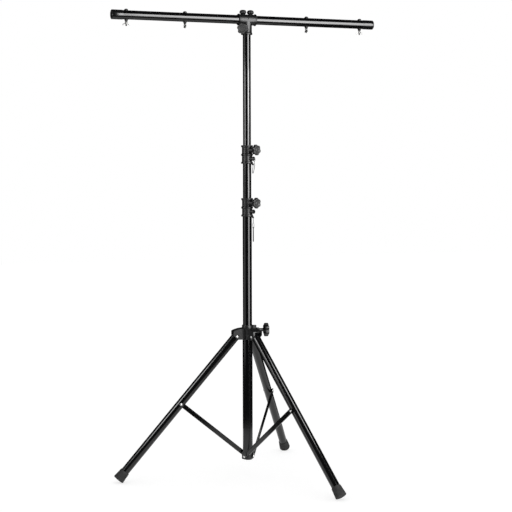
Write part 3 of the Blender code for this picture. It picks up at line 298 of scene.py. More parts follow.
class Flow:
    """A socket of a material that takes part in Python arithmetic."""

    def __init__(self, tree, socket=None):
        self.tree = tree
        self.socket = socket

    def node(self, kind, settings=(), sockets=(), output=0):
        """Add a node. Its settings come first, then the values or links of its sockets."""
        added = self.tree.nodes.new(kind)
        for key, value in dict(settings).items():
            if key == "stops":
                ramp = added.color_ramp
                while len(ramp.elements) < len(value):
                    ramp.elements.new(0.5)
                for element, (place, level) in zip(ramp.elements, value):
                    element.position = place
                    element.color = (level, level, level, 1)
            else:
                setattr(added, key, value)
        for key, value in dict(sockets).items():
            if isinstance(value, Flow):
                self.tree.links.new(value.socket, added.inputs[key])
            else:
                added.inputs[key].default_value = value
        return Flow(self.tree, added.outputs[output])

    def maths(self, operation, *values):
        return self.node("ShaderNodeMath", {"operation": operation}, enumerate(values))

    def __add__(self, other):
        return self.maths("ADD", self, other)

    __radd__ = __add__

    def __sub__(self, other):
        return self.maths("SUBTRACT", self, other)

    def __rsub__(self, other):
        return self.maths("SUBTRACT", other, self)

    def __mul__(self, other):
        return self.maths("MULTIPLY", self, other)

    __rmul__ = __mul__

    def mixed(self, low, high):
        """Mix two colours, this value being the share of the second one."""
        ends = {0: self, 6: full(low), 7: full(high)}
        return self.node("ShaderNodeMix", {"data_type": "RGBA"}, ends, output=2)

    def ramp(self, *stops):
        return self.node("ShaderNodeValToRGB", {"stops": stops}, {0: self})

    def noise(self, scale, detail=3, where=None):
        return self.node("ShaderNodeTexNoise", {},
                         {"Vector": where or self.places(), "Scale": scale, "Detail": detail})

    def places(self, stretch=(1, 1, 1)):
        """The piece's own coordinates, stretched."""
        own = self.node("ShaderNodeTexCoord", output=3)
        return self.node("ShaderNodeMapping", {}, {"Vector": own, "Scale": stretch})

    def bump(self, height, strength, depth):
        return self.node("ShaderNodeBump", {}, {"Height": height, "Strength": strength, "Distance": depth})


def full(value):
    return value if isinstance(value, Flow) else (*value, 1)


def scaled(value, factor):
    return tuple(min(1.0, part * factor) for part in value)


def material(name):
    """A new material, with its shader and a flow that starts in its tree."""
    made = bpy.data.materials.new(name)
    made.use_nodes = True
    return made, made.node_tree.nodes["Principled BSDF"], Flow(made.node_tree)


def feed(shader, flow, **sockets):
    """Link flows to the shader's sockets and set plain numbers on them."""
    for key, value in sockets.items():
        socket = shader.inputs[key.replace("_", " ").title().replace("Ior", "IOR")]
        if isinstance(value, Flow):
            flow.tree.links.new(value.socket, socket)
        else:
            socket.default_value = value


def gloss_paint(colours):
    """Black enamel with faint rub marks along the tube, dust and a little orange peel."""
    made, shader, flow = material("gloss_black_paint")
    along = flow.places(stretch=(160, 160, 3))
    streaks = flow.noise(1.0, 4, along).ramp((0.42, 0), (0.78, 1))
    dust = flow.noise(420, 2).ramp((0.62, 0), (0.74, 1))
    haze = flow.noise(7, 3)
    peel = flow.noise(260, 2)
    base = (0.25 * dust + 0.20 * streaks).mixed(colours.paint, scaled(colours.paint, 4))
    rough = colours.gloss + 0.03 * streaks + 0.03 * haze + 0.04 * dust
    feed(shader, flow, base_color=base, roughness=rough, normal=flow.bump(peel, 0.03, 0.0002),
         specular_ior_level=0.45)
    return made


def moulded_plastic(name, smoothness, relief, colours, lit_face=0):
    """Black nylon with a fine moulded grain, paler on its edges; a knob's rough outward face is paler still,
    a painted highlight for the light that falls on it.
    """
    made, shader, flow = material(name)
    grain = flow.noise(1500, 3)
    cloud = flow.noise(35, 3)
    edge = flow.node("ShaderNodeBevel", {"samples": 4}, {"Radius": 0.0008})
    face = flow.node("ShaderNodeNewGeometry", output=1)
    facing = flow.node("ShaderNodeVectorMath", {"operation": "DOT_PRODUCT"}, {0: edge, 1: face}, output=1)
    worn = (1 - facing).ramp((0.02, 0), (0.20, 1))
    base = (0.45 * worn + 0.35 * cloud).mixed(colours.plastic, scaled(colours.plastic, 2.5))
    rough = smoothness - 0.05 * worn + 0.08 * cloud
    # Painted highlight: the face that points out along the knob's axis gets the paler knob-face colour, and a
    # rougher finish.
    if lit_face:
        own = flow.node("ShaderNodeTexCoord", output=1)
        lit_face_mask = flow.node("ShaderNodeSeparateXYZ", {}, {0: own}, output=2).ramp((0.80, 0), (0.95, 1))
        base = lit_face_mask.mixed(base, colours.lit_face)
        rough = rough + lit_face * lit_face_mask
    bump = flow.bump(grain, relief, 0.0002)
    flow.tree.links.new(edge.socket, bump.socket.node.inputs["Normal"])
    feed(shader, flow, base_color=base, roughness=rough, normal=bump, specular_ior_level=0.42)
    return made


def foot_rubber(colours):
    """Matte rubber with a pale bloom of floor dust."""
    made, shader, flow = material("black_rubber")
    fine = flow.noise(900, 3)
    scuff = flow.noise(60, 4).ramp((0.45, 0), (0.75, 1))
    base = (0.55 * scuff).mixed(colours.rubber, scaled(colours.rubber, 3))
    feed(shader, flow, base_color=base, roughness=0.72 + 0.16 * fine, normal=flow.bump(fine, 0.25, 0.0003),
         specular_ior_level=0.4)
    return made


def plated(name, tint, rough, grain):
    """Plated metal in the given tint, blotchy and finely worn; the zinc and steel tints are darkened, painted
    shade.
    """
    made, shader, flow = material(name)
    blotch = flow.noise(220, 4)
    fine = flow.noise(grain, 2)
    base = blotch.mixed(scaled(tint, 0.82), scaled(tint, 1.12))
    feed(shader, flow, base_color=base, metallic=1.0, roughness=rough + 0.14 * blotch,
         normal=flow.bump(fine, 0.10, 0.0001))
    return made


FINISHES = {}


def mix_finishes(scene):
    """Make every finish once, and keep them by name."""
    if FINISHES:
        return FINISHES
    colours = scene.stand_colours
    FINISHES["paint"] = gloss_paint(colours)
    FINISHES["plastic"] = moulded_plastic("satin_black_plastic", colours.satin, 0.16, colours)
    # The knobs' plastic, with a painted highlight on their outward faces.
    FINISHES["knob"] = moulded_plastic("knob_black_plastic", colours.satin, 0.16, colours, 0.12)
    FINISHES["cap"] = moulded_plastic("gloss_black_plastic", colours.cap_gloss, 0.02, colours)
    FINISHES["rubber"] = foot_rubber(colours)
    # Darkened zinc for the bolt shafts and wing nuts: painted shade.
    FINISHES["zinc"] = plated("zinc_plate", colours.zinc, 0.30, 1800)
    FINISHES["rivet"] = plated("bright_rivet", colours.rivet, 0.30, 1800)
    # Darkened steel for the lock pins, rings and wires: painted shade.
    FINISHES["steel"] = plated("steel_wire", colours.steel, 0.34, 3000)
    return FINISHES


# Solids

def spin_about_mast(angle):
    return Matrix.Rotation(angle, 4, "Z")


def at(x, y, z):
    return Matrix.Translation((x, y, z))


def tube_radius(node):
    """Outer radius of a mast tube of the CAD."""
    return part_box(node)[1].x


def leg_place(azimuth, scene):
    """Where a leg stands whose own frame starts on its hub pin."""
    hinge = at(scene.stand_hub.pivot_radius, 0, HUB_PIVOT)
    return spin_about_mast(radians(azimuth)) @ hinge @ Matrix.Rotation(-scene.stand_legs.spread, 4, "Y")


def settle(solid, placed):
    bmesh.ops.recalc_face_normals(solid, faces=solid.faces)
    if placed is not None:
        bmesh.ops.transform(solid, matrix=placed, verts=solid.verts)
    return solid


def turned(profile, sides, placed=None):
    """Turn a profile of (radius, height) points about Z."""
    solid = bmesh.new()
    points = [solid.verts.new((radius, 0, height)) for radius, height in profile]
    edges = [solid.edges.new(pair) for pair in zip(points, points[1:])]
    if profile[0][0] > 0:
        edges.append(solid.edges.new((points[-1], points[0])))
    bmesh.ops.spin(solid, geom=points + edges, cent=(0, 0, 0), axis=(0, 0, 1), angle=2 * pi,
                   steps=sides, use_merge=True)
    bmesh.ops.remove_doubles(solid, verts=solid.verts, dist=1e-6)
    return settle(solid, placed)


def rod(radius, low, high, sides, placed=None):
    return turned([(0, low), (radius, low), (radius, high), (0, high)], sides, placed)


def prism(outline, low, high, placed=None):
    """Extrude an outline in XY from one height to another."""
    solid = bmesh.new()
    face = solid.faces.new([solid.verts.new((x, y, low)) for x, y in outline])
    grown = bmesh.ops.extrude_face_region(solid, geom=[face])
    top = [piece for piece in grown["geom"] if isinstance(piece, bmesh.types.BMVert)]
    bmesh.ops.translate(solid, vec=(0, 0, high - low), verts=top)
    return settle(solid, placed)


def lofted(rings):
    """Skin a stack of rings with equal point counts and close both ends."""
    solid = bmesh.new()
    rows = [[solid.verts.new(point) for point in ring] for ring in rings]
    for lower, upper in zip(rows, rows[1:]):
        for k in range(len(lower)):
            n = (k + 1) % len(lower)
            solid.faces.new((lower[k], lower[n], upper[n], upper[k]))
    solid.faces.new(rows[0])
    solid.faces.new(rows[-1])
    return settle(solid, None)


def to_mesh(name, solid, sharp=35):
    mesh = bpy.data.meshes.new(name)
    solid.to_mesh(mesh)
    solid.free()
    mesh.shade_smooth()
    mesh.set_sharp_from_angle(angle=radians(sharp))
    return mesh


def worked(name, solid, steps, soften=0.0):
    """Add, cut or intersect groups of solids, soften the edges, and return the mesh."""
    block = bpy.data.objects.new(name, to_mesh(name, solid))
    bpy.context.scene.collection.objects.link(block)
    groups = []
    for operation, shapes in steps:
        group = bpy.data.collections.new(operation)
        bpy.context.scene.collection.children.link(group)
        groups.append(group)
        for shape in shapes:
            group.objects.link(bpy.data.objects.new("tool", to_mesh("tool", shape)))
        step = block.modifiers.new(operation, "BOOLEAN")
        step.operation = operation
        step.solver = "EXACT"
        step.operand_type = "COLLECTION"
        step.collection = group
    if soften:
        round_over = block.modifiers.new("soften", "BEVEL")
        round_over.width = soften
        round_over.segments = 2
        round_over.limit_method = "ANGLE"
        round_over.angle_limit = radians(38)
    graph = bpy.context.evaluated_depsgraph_get()
    mesh = bpy.data.meshes.new_from_object(block.evaluated_get(graph))
    bpy.data.objects.remove(block)
    for group in groups:
        for tool in list(group.objects):
            bpy.data.objects.remove(tool)
        bpy.data.collections.remove(group)
    mesh.name = name
    mesh.materials.clear()
    mesh.shade_smooth()
    mesh.set_sharp_from_angle(angle=radians(35))
    return mesh


def fillet(centre, radius, start, end, points=5):
    """Profile points round an edge, angles in degrees."""
    angles = [radians(start + (end - start) * k / (points - 1)) for k in range(points)]
    return [(centre[0] + radius * cos(a), centre[1] + radius * sin(a)) for a in angles]


def boss_solid(flank, face, edge, reach, placed, sides=40):
    """A round boss along Z: its flank from the root up, then a face with a rounded rim."""
    rim = fillet((face - edge, reach - edge), edge, 0, 90, 4)
    return turned([(0, flank[0][1])] + flank + rim + [(0, reach)], sides, placed)


def add_piece(name, shape, finish, body, node, placed=Matrix()):
    """Put a fine piece where its CAD node is, on the same body."""
    if not shape.materials:
        shape.materials.append(mix_finishes(bpy.context.scene)[finish])
    piece = bpy.data.objects.new(name, shape)
    bpy.context.scene.collection.objects.link(piece)
    piece.matrix_world = placed
    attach(piece, body)
    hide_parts(node)
    return piece


# Wires

def smooth_route(points, spacing):
    """Even points on a smooth curve through the route's own points."""
    fine = []
    for k in range(len(points) - 1):
        before = points[max(k - 1, 0)]
        start = points[k]
        end = points[k + 1]
        after = points[min(k + 2, len(points) - 1)]
        for step in range(12):
            t = step / 12
            fine.append(0.5 * (2 * start + (end - before) * t
                               + (2 * before - 5 * start + 4 * end - after) * t ** 2
                               + (3 * start - before - 3 * end + after) * t ** 3))
    fine.append(points[-1])
    lengths = [0]
    for a, b in zip(fine, fine[1:]):
        lengths.append(lengths[-1] + (b - a).length)
    count = ceil(lengths[-1] / spacing)
    route = []
    k = 0
    for step in range(count + 1):
        goal = lengths[-1] * step / count
        while k < len(fine) - 2 and lengths[k + 1] < goal:
            k += 1
        part = (goal - lengths[k]) / (lengths[k + 1] - lengths[k])
        route.append(fine[k].lerp(fine[k + 1], part))
    return route, lengths[-1]


def wire_mesh(name, route, diameter, sides=12):
    """A tube along a route, with closed ends."""
    rings = []
    side = Vector((0, 1, 0))
    for k, point in enumerate(route):
        ahead = (route[min(k + 1, len(route) - 1)] - route[max(k - 1, 0)]).normalized()
        side = (side - ahead * side.dot(ahead)).normalized()
        other = ahead.cross(side)
        turns = [2 * pi * n / sides for n in range(sides)]
        rings.append([point + diameter / 2 * (cos(a) * side + sin(a) * other) for a in turns])
    return to_mesh(name, lofted(rings), 50)


class STAND_OT_wires(bpy.types.Operator):
    """Hang the upper lock pin's wire in its loop, and the lower one's short wire"""
    bl_idname = "stand.wires"
    bl_label = "Wires"

    def execute(self, context):
        collars = context.scene.stand_collars
        locks = context.scene.stand_locks
        side = spin_about_mast(collars.azimuth)
        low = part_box("upper_collar")[1].z - collars.height
        end_r = collars.pin_reach + GAP + locks.head_length / 2
        end_z = collars.pin_rise - locks.upper_ring + locks.ring_wire / 2 - GAP
        sag = UPPER_WIRE_SAG
        points = [(0.0310, -collars.lug_drop - GAP), (0.0302, 0.41 * sag), (0.0286, 0.65 * sag),
                  (0.0277, 0.86 * sag), (0.0286, sag), (0.0312, sag), (0.0340, 0.82 * sag),
                  (0.0368, 0.58 * sag), (0.0388, 0.33 * sag), (0.0392, 0.09 * sag), (end_r, end_z)]
        placed = [side @ Vector((r, 0, low + z)) for r, z in points]
        route, measured = smooth_route(placed, locks.wire)
        wire = add_piece("upper_wire", wire_mesh("upper_wire", route, locks.wire), "steel", "mid_mast",
                         "upper_tether")
        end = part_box("lower_tether")[0].z - PIN_SWING[2]
        points = [Vector((0, 0, LOWER_WIRE_HOOK)), Vector((LOWER_WIRE_LEAN, 0, 0.4 * end)),
                  Vector((LOWER_WIRE_LEAN, 0, end))]
        route = smooth_route(points, locks.wire)[0]
        add_piece("lower_wire", wire_mesh("lower_wire", route, locks.wire), "steel", "lower_lock_pin",
                  "lower_tether", at(*PIN_SWING) @ side)
        return {"FINISHED"}


# Tubes and collars

def tube_mesh(name, radius, wall, low, high, crossing):
    """A smooth tube along Z with its rims broken, cut by the pins or bolts that cross it."""
    inner = radius - wall
    rim = 0.0002
    body = turned([(inner, low), (radius - rim, low), (radius, low + rim), (radius, high - rim),
                   (radius - rim, high), (inner, high)], 96)
    return worked(name, body, [("DIFFERENCE", crossing)] if crossing else [])


class STAND_OT_tubes(bpy.types.Operator):
    """Build the tubes of the mast, the crossbar and the legs"""
    bl_idname = "stand.tubes"
    bl_label = "Tubes"

    def execute(self, context):
        scene = context.scene
        collars = scene.stand_collars
        legs = scene.stand_legs
        bar = scene.stand_bar
        lock = scene.stand_locks.pin / 2 + GAP
        for node, body, collar in (("lower_tube", "lower_mast", "lower_collar"),
                                   ("mid_tube", "mid_mast", "upper_collar"),
                                   ("top_tube", "top_mast", None),
                                   ("guide_tube", "hub", None)):
            low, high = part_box(node)
            crossing = []
            if collar:
                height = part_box(collar)[1].z - collars.height + collars.pin_rise
                spot = spin_about_mast(collars.azimuth) @ at(0, 0, height) @ ALONG_X
                crossing = [rod(lock, 0, collars.pin_reach, 24, spot)]
            mesh = tube_mesh(f"smooth_{node}", high.x, legs.mast_wall, low.z, high.z, crossing)
            add_piece(f"smooth_{node}", mesh, "paint", body, node)
        low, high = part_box("bar_right")
        crossing = []
        for place in ("outer", "inner"):
            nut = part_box(f"wing_nut_right_{place}")
            spot = at(0, 0, (nut[0].x + nut[1].x) / 2) @ ALONG_X
            crossing.append(rod(bar.bolt / 2 + GAP, -bar.bar, bar.bar, 24, spot))
        mesh = tube_mesh("crossbar_half", bar.bar / 2, bar.wall, low.x, high.x, crossing)
        for word, turn in BAR_SIDES:
            add_piece(f"crossbar_{word}", mesh, "paint", f"bar_{word}", f"bar_{word}",
                      at(0, 0, BAR_AXIS) @ spin_about_mast(turn) @ ALONG_X)
        rivet_axis = at(0, 0, -legs.strut_reach) @ ALONG_Y
        sideways = [rod(LEG_PIN_RADIUS + GAP, -legs.leg, legs.leg, 24, ALONG_Y),
                    rod(STRUT_RIVET_RADIUS + GAP, -legs.leg, legs.leg, 24, rivet_axis)]
        mesh = tube_mesh("leg", legs.leg / 2, legs.wall, GAP + legs.sole_thickness - legs.leg_length,
                         legs.overhang, sideways)
        for k, azimuth in enumerate(LEG_AZIMUTHS, 1):
            add_piece(f"leg_{k}_tube", mesh, "paint", f"leg_{k}", f"leg_tube_{k}", leg_place(azimuth, scene))
        return {"FINISHED"}


class STAND_OT_cad_finishes(bpy.types.Operator):
    """Give the struts, pins, screws and base bracket, which keep their CAD shape, their finishes"""
    bl_idname = "stand.cad_finishes"
    bl_label = "Struts, pins and bracket"

    def execute(self, context):
        finishes = mix_finishes(context.scene)
        chosen = {"paint": ["strut_1", "strut_2", "strut_3"], "plastic": ["base_bracket"], "rivet": []}
        for k in (1, 2, 3):
            chosen["rivet"] += [f"strut_foot_screw_{k}", f"leg_pin_{k}", f"leg_rivet_{k}", f"strut_pin_{k}"]
        for finish, nodes in chosen.items():
            for node in nodes:
                frame["nodes"][node].material_slots[0].material = finishes[finish]
        return {"FINISHED"}


def collar_mesh(name, fixed_radius, sliding_radius, scene):
    """A ringed clamp collar, its lower face at height 0 and its bosses on +X."""
    s = scene.stand_collars
    ring = s.ring / 2
    body = s.body / 2
    soft = 0.0018
    slope = 0.0006
    mouth = sliding_radius + 4 * GAP
    dish = s.height - 0.001
    profile = [(0, 0)] + fillet((ring - soft, soft), soft, -90, 0)
    profile += fillet((ring - soft, s.ring_height - soft), soft, 0, 60, 4) + [(body, s.ring_height + slope)]
    low = s.middle - s.ring_height / 2
    profile += [(body, low - slope)] + fillet((ring - soft, low + soft), soft, -60, 0, 4)
    profile += fillet((ring - soft, low + s.ring_height - soft), soft, 0, 60, 4)
    profile += [(body, low + s.ring_height + slope), (body, s.height - s.ring_height - slope)]
    profile += fillet((ring - soft, s.height - s.ring_height + soft), soft, -60, 0, 4)
    profile += fillet((ring - soft, s.height - soft), soft, 0, 90)
    profile += [(mouth, s.height), (mouth, dish), (0, dish)]
    tube_end = s.height - s.inset + GAP
    bore = turned([(0, -GAP), (fixed_radius + GAP, -GAP), (fixed_radius + GAP, tube_end),
                   (sliding_radius + GAP, tube_end), (sliding_radius + GAP, s.height + GAP),
                   (0, s.height + GAP)], 64)
    knob_axis = at(0, 0, s.height - s.knob_drop) @ ALONG_X
    pin_axis = at(0, 0, s.pin_rise) @ ALONG_X
    root = body - 0.003
    boss = s.knob_boss / 2
    socket = s.pin_boss / 2
    knob_boss = boss_solid([(1.14 * boss, root), (1.04 * boss, body + 0.002)], 0.94 * boss, 0.001,
                           s.knob_reach, knob_axis)
    pin_boss = boss_solid([(1.08 * socket, root), (socket, body + 0.0015)], socket, 0.0012,
                          s.pin_reach, pin_axis, 36)
    lug = [(root, s.ring_height), (ring, s.ring_height), (s.lug_reach, -0.2 * s.lug_drop),
           (s.lug_reach, -0.7 * s.lug_drop), (s.lug_reach - 0.002, -s.lug_drop),
           (s.lug_reach - 0.0048, -s.lug_drop), (ring - 0.001, -0.1 * s.lug_drop),
           (fixed_radius + 2 * GAP, 0)]
    half = s.lug_thickness / 2
    knob_hole = rod(scene.stand_knobs.screw / 2 + GAP, 0, 2 * s.pin_reach, 24, knob_axis)
    pin_hole = rod(scene.stand_locks.pin / 2 + GAP, 0, 2 * s.pin_reach, 24, pin_axis)
    return worked(name, turned(profile, 72),
                  [("UNION", [knob_boss, pin_boss, prism(lug, -half, half, UPRIGHT)]),
                   ("DIFFERENCE", [bore, knob_hole, pin_hole])])


class STAND_OT_collars(bpy.types.Operator):
    """Build the two clamp collars with their rings, bosses and lugs"""
    bl_idname = "stand.collars"
    bl_label = "Clamp collars"

    def execute(self, context):
        s = context.scene.stand_collars
        side = spin_about_mast(s.azimuth)
        for word, body, fixed, sliding in (("lower", "lower_mast", "lower_tube", "mid_tube"),
                                           ("upper", "mid_mast", "mid_tube", "top_tube")):
            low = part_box(f"{word}_collar")[1].z - s.height
            mesh = collar_mesh(f"{word}_clamp", tube_radius(fixed), tube_radius(sliding), context.scene)
            add_piece(f"{word}_clamp", mesh, "plastic", body, f"{word}_collar", at(0, 0, low) @ side)
        return {"FINISHED"}


# Knobs

def lobed_ring(radius, height, lobes, depth, points):
    ring = []
    for k in range(points):
        turn = 2 * pi * k / points
        reach = radius * (1 - depth * ((1 - cos(lobes * turn)) / 2) ** 1.5)
        ring.append((reach * cos(turn), reach * sin(turn), height))
    return ring


def star_knob_mesh(name, diameter, thickness, neck, wide, screw, s):
    """A lobed knob with a dished face, its neck and its screw, on +Z from its boss."""
    radius = diameter / 2
    root = wide / 2
    thread = s.screw / 2
    top = neck + thickness
    deep = s.lobe_depth
    levels = [(thread - 0.0005, -screw, 0), (thread, -screw + 0.0005, 0), (thread, 0, 0), (root, 0, 0),
              (0.95 * root, 0.3 * neck, 0), (0.93 * root, 0.8 * neck, 0), (1.08 * root, neck, 0),
              (0.80 * radius, neck, 0.8 * deep), (0.93 * radius, neck + 0.04 * thickness, 0.95 * deep),
              (0.985 * radius, neck + 0.10 * thickness, deep), (radius, neck + 0.18 * thickness, deep),
              (radius, neck + 0.76 * thickness, deep), (0.985 * radius, neck + 0.87 * thickness, deep),
              (0.94 * radius, neck + 0.95 * thickness, 0.95 * deep), (0.87 * radius, top, 0.9 * deep),
              (0.64 * radius, top, 0.35 * deep), (0.58 * radius, top - 0.0006, 0.1 * deep),
              (0.53 * radius, top - 0.0015, 0), (0.31 * radius, top - 0.0018, 0),
              (0.27 * radius, top - 0.0012, 0), (0.22 * radius, top - 0.0010, 0)]
    rings = [lobed_ring(r, z, s.lobes, depth, 20 * s.lobes) for r, z, depth in levels]
    return to_mesh(name, lofted(rings), 40)


def ball_knob_mesh(s, boss_rise, bar_radius):
    """A small fluted ball knob with its screw, on +Z from its boss."""
    radius = s.bar_knob / 2
    height = s.bar_knob_height
    screw = boss_rise - bar_radius
    levels = [(BALL_SCREW_RADIUS, -screw, 0), (BALL_SCREW_RADIUS, 0, 0), (0.66 * radius, 0, 0),
              (0.70 * radius, 0.02 * height, 0.01),
              (0.84 * radius, 0.09 * height, 0.06), (0.94 * radius, 0.20 * height, 0.09),
              (0.99 * radius, 0.33 * height, 0.10), (radius, 0.45 * height, 0.10),
              (0.97 * radius, 0.58 * height, 0.10), (0.90 * radius, 0.71 * height, 0.09),
              (0.79 * radius, 0.82 * height, 0.07), (0.63 * radius, 0.91 * height, 0.04),
              (0.44 * radius, 0.97 * height, 0.01), (0.20 * radius, height, 0)]
    rings = [lobed_ring(r, z, s.flutes, depth, 12 * s.flutes) for r, z, depth in levels]
    return to_mesh("ball_knob", lofted(rings), 50)


class STAND_OT_knobs(bpy.types.Operator):
    """Build the four star knobs and the two fluted ball knobs"""
    bl_idname = "stand.knobs"
    bl_label = "Knobs"

    def execute(self, context):
        scene = context.scene
        s = scene.stand_knobs
        collars = scene.stand_collars
        hub = scene.stand_hub
        head = scene.stand_head
        plans = [(f"{word}_knob", collars.azimuth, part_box(f"{word}_collar")[1].z - collars.knob_drop,
                  collars.knob_reach, s.collar_knob, s.thickness, s.collar_stand, s.collar_neck, tube, turn)
                 for word, tube, turn in (("lower", "mid_tube", 0), ("upper", "top_tube", 14))]
        plans += [("hub_knob", hub.boss_azimuth, HUB_PIVOT + hub.boss_rise, hub.boss_reach,
                   s.hub_knob, s.hub_thickness, s.hub_stand, s.neck, "lower_tube", 0),
                  ("head_knob", head.knob_azimuth, HEAD_START + head.knob_rise, head.boss_reach,
                   s.head_knob, s.thickness, s.head_stand, s.neck, "top_tube", 12)]
        for node, azimuth, height, reach, diameter, thickness, neck, wide, tube, turn in plans:
            screw = reach - tube_radius(tube)
            mesh = star_knob_mesh(f"{node}_star", diameter, thickness, neck, wide, screw, s)
            placed = (spin_about_mast(azimuth) @ at(reach + GAP, 0, height) @ ALONG_X
                      @ spin_about_mast(radians(turn)))
            add_piece(f"{node}_star", mesh, "knob", node, node, placed)
        ball = ball_knob_mesh(s, head.bar_boss_rise, scene.stand_bar.bar / 2)
        for word, turn in (("left", -1), ("right", 1)):
            placed = at(turn * head.bar_knob_offset, 0, BAR_AXIS + head.bar_boss_rise + GAP)
            node = f"bar_knob_{word}"
            add_piece(f"{node}_ball", ball, "plastic", node, node, placed)
        return {"FINISHED"}


# Hub

def hub_outline(s):
    """Plan of the hub: three arms, a shallow web between each pair and a rib on each web."""
    half = s.width / 2
    reach = s.reach * 1.2
    outline = []
    for azimuth in LEG_AZIMUTHS:
        arm = spin_about_mast(radians(azimuth))
        middle = spin_about_mast(radians(azimuth + 60))
        inner = hypot(half, half) * cos(radians(15)) - 0.0022
        rib = 0.0015
        points = [arm @ Vector((half, -half, 0)), arm @ Vector((reach, -half, 0)),
                  arm @ Vector((reach, half, 0)), arm @ Vector((half, half, 0)),
                  middle @ Vector((inner + 0.0008, -2 * rib, 0)), middle @ Vector((inner, -rib, 0)),
                  middle @ Vector((inner + 0.0035, -rib, 0)), middle @ Vector((inner + 0.0035, rib, 0)),
                  middle @ Vector((inner, rib, 0)), middle @ Vector((inner + 0.0008, 2 * rib, 0))]
        outline += [(point.x, point.y) for point in points]
    return outline


def hub_mesh(s, knob_screw):
    """The sliding hub about the height of the leg pins."""
    guide = tube_radius("guide_tube")
    lower = tube_radius("lower_tube")
    low = -s.below
    collar = s.collar / 2
    roof_start = collar + 0.0035
    top = s.roof_inner + s.collar_height
    middle = (roof_start + s.reach) / 2
    crown = (s.roof_inner + s.roof_outer) / 2 + 0.0015
    form = turned([(0, low), (s.reach - s.lower_cut, low), (s.reach, low + s.lower_cut),
                   (s.reach, s.roof_outer - 0.002), (s.reach - 0.0006, s.roof_outer - 0.0006),
                   (s.reach - 0.002, s.roof_outer), (middle + 0.008, crown - 0.0025),
                   (middle, crown), (middle - 0.008, crown + 0.002), (roof_start, s.roof_inner),
                   (collar, s.roof_inner), (collar, top - 0.001), (collar - 0.0003, top - 0.0003),
                   (collar - 0.001, top), (0, top)], 90)
    slot_half = s.width / 2 - s.cheek
    far = 2 * s.reach
    fall = (s.roof_inner - s.roof_outer) / (s.reach - roof_start)
    under = s.roof_inner - 0.004
    slot_start = 0.024
    slot = [(slot_start, -far), (far, -far), (far, under - fall * (far - roof_start)),
            (roof_start, under), (slot_start, under)]
    cuts = []
    for azimuth in LEG_AZIMUTHS:
        arm = spin_about_mast(radians(azimuth))
        cuts.append(prism(slot, -slot_half, slot_half, arm @ UPRIGHT))
        hinge = arm @ at(s.pivot_radius, 0, 0) @ ALONG_Y
        cuts.append(rod(LEG_PIN_RADIUS + GAP, -s.width, s.width, 24, hinge))
    side = spin_about_mast(s.boss_azimuth)
    axis = side @ at(0, 0, s.boss_rise) @ ALONG_X
    boss = s.boss / 2
    ear_half = 0.006
    ear_tip = 0.034
    corner = 0.002
    ear = [(guide, -ear_half), (ear_tip - corner, -ear_half), (ear_tip, corner - ear_half),
           (ear_tip, ear_half - corner), (ear_tip - corner, ear_half), (guide, ear_half)]
    guide_end = 0.0163
    bore = turned([(0, 2 * low), (guide + GAP, 2 * low), (guide + GAP, guide_end), (lower + GAP, guide_end),
                   (lower + GAP, 2 * top), (0, 2 * top)], 72)
    knob_boss = boss_solid([(1.08 * boss, guide)], 0.92 * boss, 0.0012, s.boss_reach, axis)
    cuts += [bore, rod(knob_screw / 2 + GAP, 0, 2 * s.boss_reach, 24, axis)]
    return worked("sliding_hub", prism(hub_outline(s), low - GAP, top + GAP),
                  [("INTERSECT", [form]), ("UNION", [knob_boss, prism(ear, s.boss_rise, top - 0.001, side)]),
                   ("DIFFERENCE", cuts)])


class STAND_OT_hub(bpy.types.Operator):
    """Build the sliding hub with its three forked arms, roof, collar and knob boss"""
    bl_idname = "stand.hub"
    bl_label = "Hub"

    def execute(self, context):
        mesh = hub_mesh(context.scene.stand_hub, context.scene.stand_knobs.screw)
        add_piece("sliding_hub", mesh, "plastic", "hub", "hub", at(0, 0, HUB_PIVOT))
        return {"FINISHED"}


# Feet

def foot_mesh(scene):
    """A rubber foot with moulded grip rings, cut flat where it meets the floor."""
    s = scene.stand_legs
    sole = s.sole / 2
    neck = s.foot_top / 2
    bore = s.leg / 2 + GAP
    top = s.foot_height
    edge = 0.002
    first_grip = 0.009
    grip_pitch = 0.0065
    grip_depth = 0.0007
    profile = [(0, 0)] + fillet((sole - edge, edge), edge, -90, 0)
    for k in range(4):
        height = first_grip + grip_pitch * k
        radius = sole + (neck - sole) * (height - edge) / (top - 0.003)
        profile += [(radius, height - 0.0012), (radius - grip_depth, height - 0.0004),
                    (radius - grip_depth, height + 0.0004), (radius, height + 0.0012)]
    profile += [(neck, top - 0.001), (neck - 0.0004, top - 0.0003), (neck - 0.001, top), (bore, top),
                (bore, s.sole_thickness), (0, s.sole_thickness)]
    body = turned(profile, 64, at(0, 0, -s.leg_length))
    wide = s.sole
    middle = scene.stand_hub.pivot_radius + s.leg_length * sin(s.spread)
    ground = prism([(-wide, -wide), (wide, -wide), (wide, wide), (-wide, wide)], FLOOR - wide, FLOOR,
                   leg_place(0, scene).inverted() @ at(middle, 0, 0))
    return worked("rubber_foot", body, [("DIFFERENCE", [ground])])


class STAND_OT_feet(bpy.types.Operator):
    """Build the three rubber feet"""
    bl_idname = "stand.feet"
    bl_label = "Feet"

    def execute(self, context):
        mesh = foot_mesh(context.scene)
        for k, azimuth in enumerate(LEG_AZIMUTHS, 1):
            add_piece(f"rubber_foot_{k}", mesh, "rubber", f"leg_{k}", f"foot_{k}",
                      leg_place(azimuth, context.scene))
        return {"FINISHED"}


# T head

